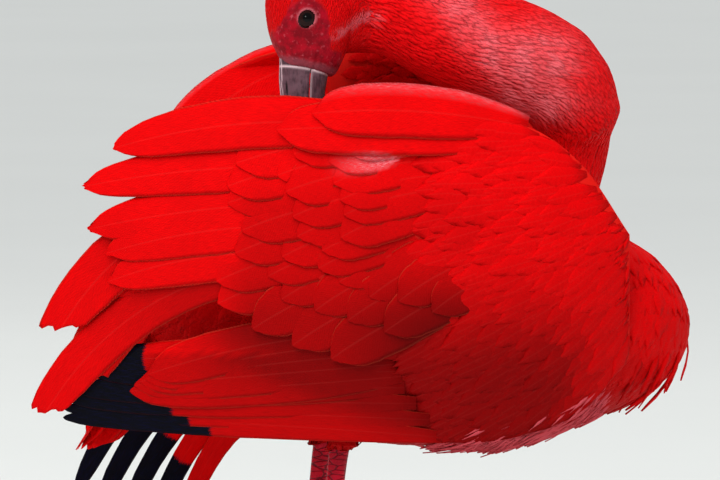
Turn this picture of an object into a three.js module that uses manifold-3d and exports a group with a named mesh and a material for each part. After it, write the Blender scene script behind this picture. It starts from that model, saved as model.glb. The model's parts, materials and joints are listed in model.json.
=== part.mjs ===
// A scarlet ibis, life size, standing on both feet and preening. Its head is turned back over the
// near shoulder and its bill is pushed down between the near wing and the flank.
// Units are millimetres, +X towards the breast, +Y towards the bird's left side, +Z up from the floor.
// The right wing faces -Y and is the near one; the left wing hangs lower on the far side.
import * as THREE from "three";
import { mergeVertices } from "three/addons/utils/BufferGeometryUtils.js";
import Module from "manifold-3d";

const wasm = await Module();
wasm.setup();

// Sizes that drive the rest.
const TOUCH_GAP = 0.4;
const VANE_THICKNESS = 0.75;
const BILL_LENGTH = 142;
const BILL_BEND_RADIUS = 180;
const EYE_RADIUS = 5.5;
const EYE_OPENING_RADIUS = 4.3;
const TOE_RADIUS = 3.3;
const CLAW_LENGTH = 8;
const TARSUS_RADIUS = 3.5;
const TIBIA_RADIUS = 4.4;

const point = (x, y, z) => new THREE.Vector3(x, y, z);
const TAU = Math.PI * 2;

// Smooth values between the rows of a table whose first column is the position.
function between(table, x) {
  const last = table.length - 1;
  if (x <= table[0][0]) return table[0].slice(1);
  if (x >= table[last][0]) return table[last].slice(1);
  const i = table.findIndex((row) => row[0] > x) - 1;
  const [a, b] = [table[i], table[i + 1]];
  const before = table[Math.max(i - 1, 0)];
  const after = table[Math.min(i + 2, last)];
  const span = b[0] - a[0];
  const t = (x - a[0]) / span;
  return a.slice(1).map((_, k) => {
    const c = k + 1;
    const slopeA = ((b[c] - before[c]) / (b[0] - before[0])) * span;
    const slopeB = ((after[c] - a[c]) / (after[0] - a[0])) * span;
    const t2 = t * t;
    const t3 = t2 * t;
    return (
      (2 * t3 - 3 * t2 + 1) * a[c] + (t3 - 2 * t2 + t) * slopeA +
      (3 * t2 - 2 * t3) * b[c] + (t3 - t2) * slopeB
    );
  });
}

// A closed solid from vertices and triangles, turned to face outwards.
function closed(vertices, triangles) {
  const make = (faces) =>
    new wasm.Manifold(
      new wasm.Mesh({
        numProp: 3,
        vertProperties: new Float32Array(vertices.flatMap((v) => [v.x, v.y, v.z])),
        triVerts: new Uint32Array(faces.flat()),
      }),
    );
  const made = make(triangles);
  return made.volume() > 0 ? made : make(triangles.map(([a, b, c]) => [a, c, b]));
}

// A solid through rings of equally many points, closed by a fan at each end.
function loft(rings) {
  const count = rings[0].length;
  const vertices = rings.flat();
  const triangles = [];
  for (let r = 0; r + 1 < rings.length; r++) {
    for (let k = 0; k < count; k++) {
      const a = r * count + k;
      const b = r * count + ((k + 1) % count);
      triangles.push([a, b, a + count], [b, b + count, a + count]);
    }
  }
  const lastRing = (rings.length - 1) * count;
  const middle = (ring) => ring.reduce((sum, p) => sum.add(p), point(0, 0, 0)).divideScalar(count);
  vertices.push(middle(rings[0]), middle(rings[rings.length - 1]));
  for (let k = 0; k < count; k++) {
    const next = (k + 1) % count;
    triangles.push([next, k, vertices.length - 2]);
    triangles.push([lastRing + k, lastRing + next, vertices.length - 1]);
  }
  return closed(vertices, triangles);
}

// A closed three.js geometry as a solid.
function solidOf(geometry) {
  const bare = geometry.clone();
  bare.deleteAttribute("normal");
  bare.deleteAttribute("uv");
  const merged = mergeVertices(bare, 1e-4);
  const place = merged.attributes.position;
  const vertices = Array.from({ length: place.count }, (_, i) => point().fromBufferAttribute(place, i));
  const triangles = [];
  for (let i = 0; i < merged.index.count; i += 3) {
    const face = [0, 1, 2].map((k) => merged.index.getX(i + k));
    if (new Set(face).size === 3) triangles.push(face);
  }
  return closed(vertices, triangles);
}

// A solid's surface as a three.js geometry.
function surfaceOf(solid) {
  const mesh = solid.getMesh();
  const place = new Float32Array(mesh.numVert * 3);
  for (let i = 0; i < mesh.numVert; i++) {
    place.set(mesh.vertProperties.subarray(i * mesh.numProp, i * mesh.numProp + 3), i * 3);
  }
  return new THREE.BufferGeometry()
    .setAttribute("position", new THREE.BufferAttribute(place, 3))
    .setIndex(new THREE.BufferAttribute(mesh.triVerts, 1));
}

// The solid grown along its normals, used to cut its neighbours clear of it.
function swollen(solid, gap = TOUCH_GAP) {
  const geometry = surfaceOf(solid);
  geometry.computeVertexNormals();
  const { position, normal } = geometry.attributes;
  const vertices = [];
  for (let i = 0; i < position.count; i++) {
    const n = point().fromBufferAttribute(normal, i);
    vertices.push(point().fromBufferAttribute(position, i).addScaledVector(n, gap));
  }
  const triangles = [];
  for (let i = 0; i < geometry.index.count; i += 3) {
    triangles.push([0, 1, 2].map((k) => geometry.index.getX(i + k)));
  }
  return closed(vertices, triangles);
}

// Joins pieces, cuts them clear of their neighbours, and keeps the largest closed surface.
function fused(pieces, neighbours = []) {
  let made = wasm.Manifold.union(pieces);
  for (const neighbour of neighbours) made = made.subtract(neighbour);
  const bodies = made.simplify(0.06).decompose();
  return bodies.reduce((best, body) => (body.volume() > best.volume() ? body : best));
}

// A round tube along a smooth line through points, with a radius at each point and one or two
// rounded ends.
function tube({ points, radii, steps, sides, from = 0, to = 1, roundStart = false, roundEnd = false, flat = 1 }) {
  const curve = new THREE.CatmullRomCurve3(points, false, "centripetal");
  const frames = curve.computeFrenetFrames(steps, false);
  const radiusTable = radii.map((r, i) => [i / (radii.length - 1), r]);
  const ring = (t, shift, scale) => {
    const place = Math.min(steps, Math.max(0, Math.round(t * steps)));
    const centre = curve.getPointAt(t).addScaledVector(frames.tangents[place], shift);
    const [r] = between(radiusTable, curve.getUtoTmapping(t));
    return Array.from({ length: sides }, (_, k) => {
      const a = (k / sides) * TAU;
      return centre
        .clone()
        .addScaledVector(frames.normals[place], Math.cos(a) * r * scale)
        .addScaledVector(frames.binormals[place], Math.sin(a) * r * scale * flat);
    });
  };
  const firstRadius = between(radiusTable, curve.getUtoTmapping(from))[0];
  const lastRadius = between(radiusTable, curve.getUtoTmapping(to))[0];
  const caps = [72, 38].map((d) => THREE.MathUtils.degToRad(d));
  const rings = [];
  if (roundStart) for (const a of caps) rings.push(ring(from, -firstRadius * Math.sin(a), Math.cos(a)));
  for (let i = 0; i <= steps; i++) {
    const t = i / steps;
    if (t >= from - 1e-6 && t <= to + 1e-6) rings.push(ring(t, 0, 1));
  }
  if (roundEnd) for (const a of caps.toReversed()) rings.push(ring(to, lastRadius * Math.sin(a), Math.cos(a)));
  return loft(rings);
}

// Materials, one for each finish of the bird.
const finish = (color, roughness) => new THREE.MeshStandardMaterial({ color, roughness, metalness: 0 });
const scarletFeather = finish(0xd8120c, 0.8);
const bareSkin = finish(0x9a0f22, 0.55);
const billHorn = finish(0x6f5555, 0.45);
const darkEye = finish(0x0c0808, 0.08);
const legSkin = finish(0x8c0f20, 0.5);
const clawHorn = finish(0x1d1718, 0.4);

const ibis = new THREE.Group();
function add(name, solid, material) {
  const mesh = new THREE.Mesh(surfaceOf(solid), material);
  mesh.name = name;
  ibis.add(mesh);
}

// The torso, out to the tips of its small feathers: x, top, bottom, half width.
const TORSO = [
  [-114, 203, 194, 3],
  [-108, 216, 180, 12],
  [-95, 229, 166, 22],
  [-78, 241, 155, 31],
  [-50, 257, 143, 38],
  [-15, 269, 134.5, 46],
  [25, 275, 130.5, 52],
  [60, 271, 130, 54],
  [88, 253, 138.5, 49],
  [110, 236, 147, 41],
  [127, 225, 155.5, 31],
  [138, 214, 164, 21],
  [144, 203, 173, 12],
  [147, 194, 181, 4],
];
const TORSO_SIDES = 22;
const TORSO_STEPS = 18;
const torsoAt = (x) => {
  const [top, bottom, halfWidth] = between(TORSO, x);
  return { top, bottom, halfWidth, middle: (top + bottom) / 2 };
};
const torsoRings = Array.from({ length: TORSO_STEPS + 1 }, (_, i) => {
  const turn = (1 - Math.cos((i / TORSO_STEPS) * Math.PI)) / 2;
  const x = THREE.MathUtils.lerp(TORSO[0][0], TORSO[TORSO.length - 1][0], turn);
  const { top, bottom, halfWidth, middle } = torsoAt(x);
  return Array.from({ length: TORSO_SIDES }, (_, k) => {
    const a = (k / TORSO_SIDES) * TAU;
    return point(x, halfWidth * Math.sin(a), middle + ((top - bottom) / 2) * Math.cos(a));
  });
});
const torsoWhole = loft(torsoRings);
const torsoCut = swollen(torsoWhole);

// The head hangs bill down. Its own axes are back (towards the nape), crown and side.
const BILL_ROOT = point(-29, -26, 307);
const headBack = point(0.139, 0.19, 0.97).normalize();
const headSide = point(0, -1, 0).addScaledVector(headBack, headBack.y).normalize();
const headCrown = point().crossVectors(headSide, headBack).normalize();
if (headCrown.x > 0) headCrown.negate();
const inHead = (back, crown, side) =>
  BILL_ROOT.clone()
    .addScaledVector(headBack, back)
    .addScaledVector(headCrown, crown)
    .addScaledVector(headSide, side);

// The head's rings: distance behind the bill's root, crown above and throat below the axis, half width.
const HEAD = [
  [-1.5, 9.6, 12.5, 8.2],
  [0, 10.8, 14, 9.4],
  [3, 13, 15.2, 11],
  [9, 16.8, 17, 12.8],
  [18, 20, 18.8, 14.6],
  [27, 21.7, 19.6, 15.8],
  [36, 21, 19, 15.8],
  [45, 17.5, 16, 13.8],
  [51, 12, 11, 10],
  [54.5, 5, 5, 4.5],
];
const HEAD_SIDES = 20;
const HEAD_STEPS = [-1.5, 0, 3, 7, 12, 18, 24, 31, 38, 44, 50, 54.5];
const CHIN_REACH = 0.28;
const headRings = HEAD_STEPS.map((back) => {
  const [crown, throat, halfWidth] = between(HEAD, back);
  const slant = CHIN_REACH * Math.max(0, 1 - back / 16);
  return Array.from({ length: HEAD_SIDES }, (_, k) => {
    const a = (k / HEAD_SIDES) * TAU;
    const rise = Math.cos(a) * (Math.cos(a) > 0 ? crown : throat);
    return inHead(back + slant * rise, rise, halfWidth * Math.sin(a));
  });
});
const headWhole = loft(headRings);

// The eyes sit in sockets, each ringed by a bare lid.
const EYE_BACK = 19.5;
const EYE_CROWN = 2.2;
const eyeSurface = between(HEAD, EYE_BACK)[2] * Math.sqrt(1 - (EYE_CROWN / between(HEAD, EYE_BACK)[0]) ** 2);
const eyeDepth = eyeSurface - Math.sqrt(EYE_RADIUS ** 2 - EYE_OPENING_RADIUS ** 2) + 0.6;
function eyeParts(side) {
  const centre = inHead(EYE_BACK, EYE_CROWN, side * eyeDepth);
  const ball = new THREE.SphereGeometry(EYE_RADIUS, 12, 8).translate(...centre);
  const socket = new THREE.SphereGeometry(EYE_RADIUS + TOUCH_GAP, 10, 8).translate(...centre);
  const lid = new THREE.TorusGeometry(EYE_OPENING_RADIUS + 0.9, 1.1, 5, 12);
  const outward = headSide.clone().multiplyScalar(side);
  lid.applyQuaternion(new THREE.Quaternion().setFromUnitVectors(point(0, 0, 1), outward));
  lid.translate(...inHead(EYE_BACK, EYE_CROWN, side * (eyeSurface - 0.1)));
  return { ball: solidOf(ball), socket: solidOf(socket), lid: solidOf(lid) };
}
// The crossing of the head's axes decides which hand each side is on.
const nearEye = eyeParts(1);
const farEye = eyeParts(-1);

// The bill's two jaws follow one arc that bends towards the throat.
const billForward = point(-0.1, -0.19, -1).normalize();
const billSide = point(0, -1, 0).addScaledVector(billForward, billForward.y).normalize();
const billDown = point().crossVectors(billForward, billSide).normalize();
if (billDown.x < 0) billDown.negate();
const MOUTH_DROP = 2.6;
const mouthLine = (s) => {
  const turn = s / BILL_BEND_RADIUS;
  return BILL_ROOT.clone()
    .addScaledVector(billDown, MOUTH_DROP)
    .addScaledVector(billForward, Math.sin(turn) * BILL_BEND_RADIUS)
    .addScaledVector(billDown, (1 - Math.cos(turn)) * BILL_BEND_RADIUS);
};
const mouthDown = (s) => {
  const turn = s / BILL_BEND_RADIUS;
  return billDown.clone().multiplyScalar(Math.cos(turn)).addScaledVector(billForward, -Math.sin(turn));
};
// Distance from the root, depth of the jaw and its half width, each as a share of the whole bill.
const UPPER_JAW = [
  [-6, 14.6, 7.8],
  [0, 14, 7.6],
  [15, 12, 6.4],
  [30, 9.4, 5.4],
  [60, 7, 4.6],
  [100, 4.6, 3.5],
  [132, 3, 2.4],
  [140, 2, 1.6],
  [BILL_LENGTH, 1, 0.8],
];
const LOWER_JAW = [
  [-6, 8.4, 7.4],
  [0, 8, 7.2],
  [15, 6.6, 6],
  [30, 5.4, 5],
  [60, 4.2, 4.2],
  [100, 3, 3.2],
  [130, 2, 2.2],
  [137, 1, 1],
];
const JAW_SIDES = 9;
function jaw(table, direction) {
  const first = table[0][0];
  const last = table[table.length - 1][0];
  const count = 12;
  const rings = Array.from({ length: count + 1 }, (_, i) => {
    const s = THREE.MathUtils.lerp(first, last, Math.sin((i / count) * (Math.PI / 2)));
    const [depth, halfWidth] = between(table, s);
    return Array.from({ length: JAW_SIDES }, (_, k) => {
      const a = (k / (JAW_SIDES - 1)) * Math.PI;
      const rise = TOUCH_GAP / 2 + depth * Math.sin(a) ** 0.9;
      return mouthLine(s)
        .addScaledVector(mouthDown(s), -direction * rise)
        .addScaledVector(billSide, halfWidth * Math.cos(a));
    });
  });
  return loft(rings);
}
const upperJaw = jaw(UPPER_JAW, 1);
const lowerJaw = jaw(LOWER_JAW, -1);

// Slit nostrils near the root of the upper jaw.
const nostrils = [-1, 1].map((side) => {
  const slit = new THREE.SphereGeometry(1, 8, 6).scale(0.9, 1.1, 4.5);
  slit.applyQuaternion(new THREE.Quaternion().setFromUnitVectors(point(0, 0, 1), billForward));
  const centre = mouthLine(11).addScaledVector(mouthDown(11), -8.6).addScaledVector(billSide, side * 5.6);
  return solidOf(slit.translate(...centre));
});

// The line of the mouth runs a little way back into the face as a groove.
const GAPE_LENGTH = 9;
const gapeGrooves = [-1, 1].map((side) =>
  tube({
    points: [0, 0.5, 1].map((t) => {
      const back = THREE.MathUtils.lerp(-5, GAPE_LENGTH, t);
      return inHead(back, -4.4 - back * 0.12, side * (between(HEAD, back)[2] + 0.1));
    }),
    radii: [0.8, 0.7, 0.4],
    steps: 4,
    sides: 5,
  }),
);

// The neck: a stem that rises from the breast, and a thick fold that lies back over the shoulders.
const neckStem = tube({
  points: [point(82, 6, 222), point(86, 9, 245), point(91, 10, 266), point(93, 4, 288)],
  radii: [24, 19, 19, 20],
  steps: 9,
  sides: 18,
});
const NECK_FOLD = {
  points: [
    point(92, 0, 288),
    point(83, -2, 302),
    point(66, -5, 310),
    point(43, -8, 318.5),
    point(19, -11, 330),
    point(2, -14, 340),
    point(-12, -18, 342),
  ],
  radii: [24, 26, 28, 28, 25, 22, 18.5],
  steps: 14,
  sides: 20,
};
const NECK_PARTING = 7;
const neckFold = tube({ ...NECK_FOLD, to: NECK_PARTING / NECK_FOLD.steps, roundStart: true });
const neckNapeWhole = tube({ ...NECK_FOLD, from: NECK_PARTING / NECK_FOLD.steps });
const partingSlab = swollen(neckFold);

add("torso", fused([torsoWhole], [swollen(upperJaw), swollen(lowerJaw)]), scarletFeather);
add("neck_stem", fused([neckStem], [torsoCut, swollen(neckFold)]), scarletFeather);
add("neck_fold", neckFold, scarletFeather);
const headCut = swollen(headWhole);
add("neck_nape", fused([neckNapeWhole], [partingSlab, headCut]), scarletFeather);
const sockets = [nearEye.socket, farEye.socket];
add("head", fused([headWhole, nearEye.lid, farEye.lid], [...sockets, ...gapeGrooves]), bareSkin);
add("eye_near", nearEye.ball, darkEye);
add("eye_far", farEye.ball, darkEye);
add("bill_upper", fused([upperJaw], [headCut, ...nostrils]), billHorn);
add("bill_lower", fused([lowerJaw], [headCut]), billHorn);

// Each wing lies on a swelling sheet that stands off the flank: x, distance of the sheet from the
// middle plane at mid height.
const NEAR_SHEET = [
  [-150, 40],
  [-120, 46],
  [-80, 55],
  [-40, 61],
  [0, 64],
  [40, 64],
  [80, 56],
  [105, 46],
  [128, 30],
];
const FAR_SHEET = [
  [-150, 38],
  [-120, 43],
  [-80, 50],
  [-40, 55],
  [0, 58],
  [40, 60],
  [80, 54],
  [105, 44],
  [128, 30],
];
const SHEET_MIDDLE = 212;
const SHEET_REACH = 85;
const UPPER_TUCK = 20;
function sheetDistance(wing, x, z) {
  const t = (z - SHEET_MIDDLE) / SHEET_REACH;
  return between(wing.sheet, x)[0] - (t > 0 ? UPPER_TUCK : wing.lowerTuck) * t * t;
}
// A place on the sheet, raised outwards by lift.
function onSheet(wing, x, z, lift) {
  const step = 0.5;
  const here = sheetDistance(wing, x, z);
  const alongX = (sheetDistance(wing, x + step, z) - here) / step;
  const alongZ = (sheetDistance(wing, x, z + step) - here) / step;
  const outward = point(-alongX, 1, -alongZ).normalize();
  const place = point(x, here, z).addScaledVector(outward, lift);
  place.y *= wing.side;
  return place;
}

// A thin plate from two like grids of points, three across, split into triangles alike on both faces.
function plate(top, bottom) {
  const low = top.length;
  const last = low / 3 - 1;
  const triangles = [];
  const quad = (a, b, c, d) => triangles.push([a, b, c], [a, c, d]);
  for (let i = 0; i < last; i++) {
    for (let k = 0; k < 2; k++) {
      const a = i * 3 + k;
      quad(a, a + 1, a + 4, a + 3);
      triangles.push([low + a, low + a + 4, low + a + 1], [low + a, low + a + 3, low + a + 4]);
    }
    const left = i * 3;
    const right = left + 2;
    quad(left, left + 3, low + left + 3, low + left);
    quad(right, low + right, low + right + 3, right + 3);
  }
  for (const k of [0, 1]) {
    quad(k, low + k, low + k + 1, k + 1);
    const end = last * 3 + k;
    quad(end, end + 1, low + end + 1, low + end);
  }
  return closed([...top, ...bottom], triangles);
}

// One feather: a thin bent plate whose outline is round at the tip. root and tip are [x, z] on
// the sheet; bow bends it sideways; rise is the lift at the root and the tip; shingle tips one
// edge over its neighbour.
const LONG_VANE = [[0, 0.45], [0.35, 0.92], [0.7, 1], [0.92, 0.7], [1, 0.22]];
const SHORT_VANE = [[0, 0.5], [0.5, 1], [0.87, 0.8], [1, 0.26]];
function vane(wing, { root, tip, width, bow = 0, rise, shingle = 0, crown = 0.6, shape = LONG_VANE }) {
  const along = [tip[0] - root[0], tip[1] - root[1]];
  const length = Math.hypot(...along);
  const across = [-along[1] / length, along[0] / length];
  const top = [];
  const bottom = [];
  for (const [t, share] of shape) {
    const swing = bow * 4 * t * (1 - t);
    const x = root[0] + along[0] * t + across[0] * swing;
    const z = root[1] + along[1] * t + across[1] * swing;
    const lean = (bow * 4 * (1 - 2 * t)) / length;
    const reach = [across[0] - (along[0] / length) * lean, across[1] - (along[1] / length) * lean];
    const halfWidth = (width / 2) * share;
    for (const edge of [-1, 0, 1]) {
      const px = x + reach[0] * halfWidth * edge;
      const pz = z + reach[1] * halfWidth * edge;
      const lift =
        THREE.MathUtils.lerp(rise[0], rise[1], t) +
        shingle * edge * share * Math.min(1, t * 3) - crown * edge * edge * share;
      top.push(onSheet(wing, px, pz, lift));
      bottom.push(onSheet(wing, px, pz, lift - VANE_THICKNESS));
    }
  }
  return plate(top, bottom);
}

// A row of feathers between two end feathers; each number of the ends is blended.
function tier(wing, { count, first, last, middle, ...shared }) {
  return Array.from({ length: count }, (_, i) => {
    const t = count > 1 ? i / (count - 1) : 0;
    const blend = (a, b, c) => {
      const straight = THREE.MathUtils.lerp(a, b, t);
      return c === undefined ? straight : straight + 4 * t * (1 - t) * (c - (a + b) / 2);
    };
    const mix = (key) =>
      Array.isArray(first[key])
        ? first[key].map((a, k) => blend(a, last[key][k], middle?.[key]?.[k]))
        : blend(first[key], last[key], middle?.[key]);
    return vane(wing, {
      root: mix("root"),
      tip: mix("tip"),
      width: mix("width"),
      bow: mix("bow"),
      ...shared,
    });
  });
}

// A row of feathers that are each given their own ends.
const row = (wing, feathers, shared) => feathers.map((feather) => vane(wing, { ...shared, ...feather }));

// The padded arm that the wing's feathers grow from: x, top and bottom edge, thickness. Its inner
// side thickens upwards, where shoulder feathers bridge the gap to the back.
const SHOULDER_FILL = 20;
function arm(wing, table) {
  const first = table[0][0];
  const last = table[table.length - 1][0];
  const columns = 9;
  const rows = 7;
  const rings = Array.from({ length: columns }, (_, i) => {
    const x = THREE.MathUtils.lerp(first, last, i / (columns - 1));
    const [top, bottom, thick] = between(table, x);
    const taper = Math.max(0.12, 1 - (2 * (i / (columns - 1)) - 1) ** 4);
    const outer = [];
    const inner = [];
    for (let k = 0; k <= rows; k++) {
      const t = k / rows;
      const z = THREE.MathUtils.lerp(top, bottom, t);
      const plump = Math.max(0.14, 1 - (2 * t - 1) ** 4) * taper;
      outer.push(onSheet(wing, x, z, 0.6 * plump));
      const fill = SHOULDER_FILL * Math.max(0, (z - SHEET_MIDDLE) / SHEET_REACH) ** 1.5;
      inner.unshift(onSheet(wing, x, z, -(thick + fill) * plump));
    }
    return [...outer, ...inner];
  });
  return loft(rings);
}

// The right wing, held a little off the flank so that the bill fits behind it.
const nearWing = { side: -1, sheet: NEAR_SHEET, lowerTuck: 15 };
const nearArm = arm(nearWing, [
  [-24, 284, 162, 9],
  [10, 287, 148, 12],
  [40, 287, 142, 15],
  [70, 283, 146, 14],
  [95, 265, 156, 12],
  [116, 234, 178, 9],
]);
const nearPrimaries = tier(nearWing, {
  count: 4,
  first: { root: [26, 145], tip: [-137, 149], width: 13, bow: 3 },
  last: { root: [14, 163], tip: [-104, 164], width: 17, bow: 2 },
  rise: [-1.6, 1.2],
  shingle: 1.8,
});
const nearOuterSecondaries = tier(nearWing, {
  count: 3,
  first: { root: [10, 160], tip: [-100, 158], width: 21, bow: 2 },
  last: { root: [4, 180], tip: [-110, 171], width: 23, bow: -3 },
  rise: [-1.4, 3.4],
  shingle: 1.4,
});
const nearInnerSecondaries = row(
  nearWing,
  [
    { root: [-4, 192], tip: [-149, 151], width: 27, bow: -20 },
    { root: [-10, 206], tip: [-126, 181], width: 25, bow: -14 },
    { root: [-12, 219], tip: [-147, 187], width: 27, bow: -25 },
  ],
  { rise: [-1.4, 5], shingle: 1.6 },
);
const nearTertials = row(
  nearWing,
  [
    { root: [-8, 222], tip: [-117, 212], width: 24, bow: -8 },
    { root: [-8, 236], tip: [-118, 224.5], width: 22, bow: -6 },
    { root: [-6, 248], tip: [-127, 235], width: 23, bow: -4 },
    { root: [4, 260], tip: [-127, 252], width: 22, bow: -5 },
    { root: [22, 275], tip: [-115, 266], width: 24, bow: -9 },
  ],
  { rise: [-1.2, 7.6], shingle: 1.6 },
);
const nearGreaterCoverts = tier(nearWing, {
  count: 7,
  first: { root: [34, 160], tip: [-26, 160], width: 19, bow: 2 },
  middle: { root: [22, 216], tip: [-52, 204], width: 20, bow: -3 },
  last: { root: [34, 276], tip: [-50, 258], width: 22, bow: -5 },
  rise: [-1, 9.6],
  shingle: 1.4,
  shape: SHORT_VANE,
});
const nearMedianCoverts = tier(nearWing, {
  count: 8,
  first: { root: [60, 157], tip: [16, 152], width: 16, bow: 1 },
  middle: { root: [56, 212], tip: [0, 204], width: 17, bow: -1 },
  last: { root: [64, 273], tip: [8, 270], width: 18, bow: -3 },
  rise: [-1, 6.4],
  shingle: 1.2,
  shape: SHORT_VANE,
});
const nearLesserCoverts = tier(nearWing, {
  count: 7,
  first: { root: [84, 166], tip: [44, 158], width: 16, bow: 1 },
  middle: { root: [88, 212], tip: [38, 206], width: 17, bow: -1 },
  last: { root: [86, 262], tip: [44, 263], width: 17, bow: -2 },
  rise: [-1, 5.2],
  shingle: 1.1,
  shape: SHORT_VANE,
});
const nearMarginalCoverts = tier(nearWing, {
  count: 5,
  first: { root: [106, 186], tip: [76, 176], width: 17, bow: 1 },
  last: { root: [104, 240], tip: [72, 244], width: 17, bow: -1 },
  rise: [-1, 4.2],
  shingle: 1,
  shape: SHORT_VANE,
});

// The left wing droops further, its long primaries showing below the bird, and its scapulars arch
// high over the back.
const farWing = { side: 1, sheet: FAR_SHEET, lowerTuck: 6 };
const farArm = arm(farWing, [
  [-22, 313, 190, 8],
  [6, 321, 168, 10],
  [40, 304, 150, 12],
  [70, 282, 150, 12],
  [95, 260, 158, 11],
  [114, 234, 176, 8],
]);
const farPrimaries = tier(farWing, {
  count: 6,
  first: { root: [14, 172], tip: [-103, 82], width: 16, bow: -27 },
  middle: { root: [4, 184], tip: [-125, 86], width: 18, bow: -27 },
  last: { root: [-8, 198], tip: [-141, 106], width: 20, bow: -25 },
  rise: [-1.6, 1.2],
  shingle: 1.9,
});
const farSecondaries = tier(farWing, {
  count: 5,
  first: { root: [-4, 204], tip: [-124, 136], width: 24, bow: -20 },
  last: { root: [-10, 252], tip: [-114, 204], width: 26, bow: -20 },
  rise: [-1.4, 4.6],
  shingle: 1.6,
});
const farTertials = tier(farWing, {
  count: 5,
  first: { root: [-8, 242], tip: [-108, 196], width: 26, bow: -18 },
  last: { root: [18, 296], tip: [-98, 236], width: 28, bow: -29 },
  rise: [-1.2, 7.6],
  shingle: 1.6,
});
const farGreaterCoverts = tier(farWing, {
  count: 7,
  first: { root: [34, 160], tip: [-20, 150], width: 19, bow: -3 },
  middle: { root: [22, 222], tip: [-46, 196], width: 20, bow: -4 },
  last: { root: [36, 300], tip: [-36, 290], width: 22, bow: -8 },
  rise: [-1, 9.6],
  shingle: 1.4,
  shape: SHORT_VANE,
});
const farMedianCoverts = tier(farWing, {
  count: 8,
  first: { root: [62, 160], tip: [18, 148], width: 16, bow: -1 },
  middle: { root: [56, 212], tip: [0, 198], width: 17, bow: -2 },
  last: { root: [66, 276], tip: [6, 296], width: 18, bow: -4 },
  rise: [-1, 6.4],
  shingle: 1.2,
  shape: SHORT_VANE,
});
const farLesserCoverts = tier(farWing, {
  count: 7,
  first: { root: [84, 168], tip: [44, 156], width: 16, bow: -1 },
  middle: { root: [88, 212], tip: [38, 202], width: 17, bow: -1 },
  last: { root: [86, 260], tip: [44, 276], width: 17, bow: -2 },
  rise: [-1, 5.2],
  shingle: 1.1,
  shape: SHORT_VANE,
});
const farMarginalCoverts = tier(farWing, {
  count: 5,
  first: { root: [104, 186], tip: [76, 176], width: 17, bow: -1 },
  last: { root: [102, 238], tip: [72, 242], width: 17, bow: -1 },
  rise: [-1, 4.2],
  shingle: 1,
  shape: SHORT_VANE,
});

const wingNeighbours = [
  torsoCut,
  headCut,
  ...[neckStem, neckFold, neckNapeWhole, upperJaw, lowerJaw].map((piece) => swollen(piece)),
];
const nearFeathers = [
  nearPrimaries,
  nearOuterSecondaries,
  nearInnerSecondaries,
  nearTertials,
  nearGreaterCoverts,
  nearMedianCoverts,
  nearLesserCoverts,
  nearMarginalCoverts,
].flat();
const farFeathers = [
  farPrimaries,
  farSecondaries,
  farTertials,
  farGreaterCoverts,
  farMedianCoverts,
  farLesserCoverts,
  farMarginalCoverts,
].flat();
add("wing_near", fused([nearArm, ...nearFeathers], wingNeighbours), scarletFeather);
add("wing_far", fused([farArm, ...farFeathers], wingNeighbours), scarletFeather);

// The tail points steeply down from the rump: a short root with twelve overlapping feathers.
const TAIL_FEATHERS = 10;
const TAIL_LENGTH = 92;
const TAIL_WIDTH = 25;
const tailRoot = point(-88, 0, 206);
const tailDown = point(-0.52, 0, -0.854).normalize();
const tailOut = point(0, 1, 0);
const tailFace = point().crossVectors(tailOut, tailDown).normalize();
if (tailFace.x > 0) tailFace.negate();
const inTail = (down, out, face) =>
  tailRoot.clone()
    .addScaledVector(tailDown, down)
    .addScaledVector(tailOut, out)
    .addScaledVector(tailFace, face);
const TAIL_STACK = VANE_THICKNESS + 0.35;
function tailFeather(index) {
  const spread = (index / (TAIL_FEATHERS - 1)) * 2 - 1;
  const angle = spread * 0.11;
  const pair = Math.floor(Math.abs(index - (TAIL_FEATHERS - 1) / 2));
  const layer = -(2 * pair + (spread > 0 ? 1 : 0)) * TAIL_STACK;
  const top = [];
  const bottom = [];
  for (const [t, share] of LONG_VANE) {
    const down = t * (TAIL_LENGTH - 6 * spread * spread);
    const halfWidth = (TAIL_WIDTH / 2) * share;
    for (const edge of [-1, 0, 1]) {
      const out = spread * 6 * (1 - t * 0.2) + Math.sin(angle) * down + edge * halfWidth;
      const face = layer * Math.min(1, t * 2.9);
      top.push(inTail(down, out, face));
      bottom.push(inTail(down, out, face - VANE_THICKNESS));
    }
  }
  return plate(top, bottom);
}
const tailBase = tube({
  points: [inTail(-14, 0, -3), inTail(10, 0, -5), inTail(33, 0, -6)],
  radii: [11, 12, 6],
  steps: 4,
  sides: 10,
  roundEnd: true,
});
const tailVanes = Array.from({ length: TAIL_FEATHERS }, (_, i) => tailFeather(i));
add("tail", fused([tailBase, ...tailVanes], [torsoCut]), scarletFeather);

// The legs. The photo shows the shins side by side under the belly.
const LEGS = {
  near: { side: -1, hip: point(2, -20, 176), knee: point(-13.4, -17, 136), hock: point(-19, -18, 92), foot: point(-4, -23, 7.5) },
  far: { side: 1, hip: point(-7, 20, 176), knee: point(-20.8, 17, 136), hock: point(-26.5, 18, 92), foot: point(-15, 23, 7.5) },
};
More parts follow.
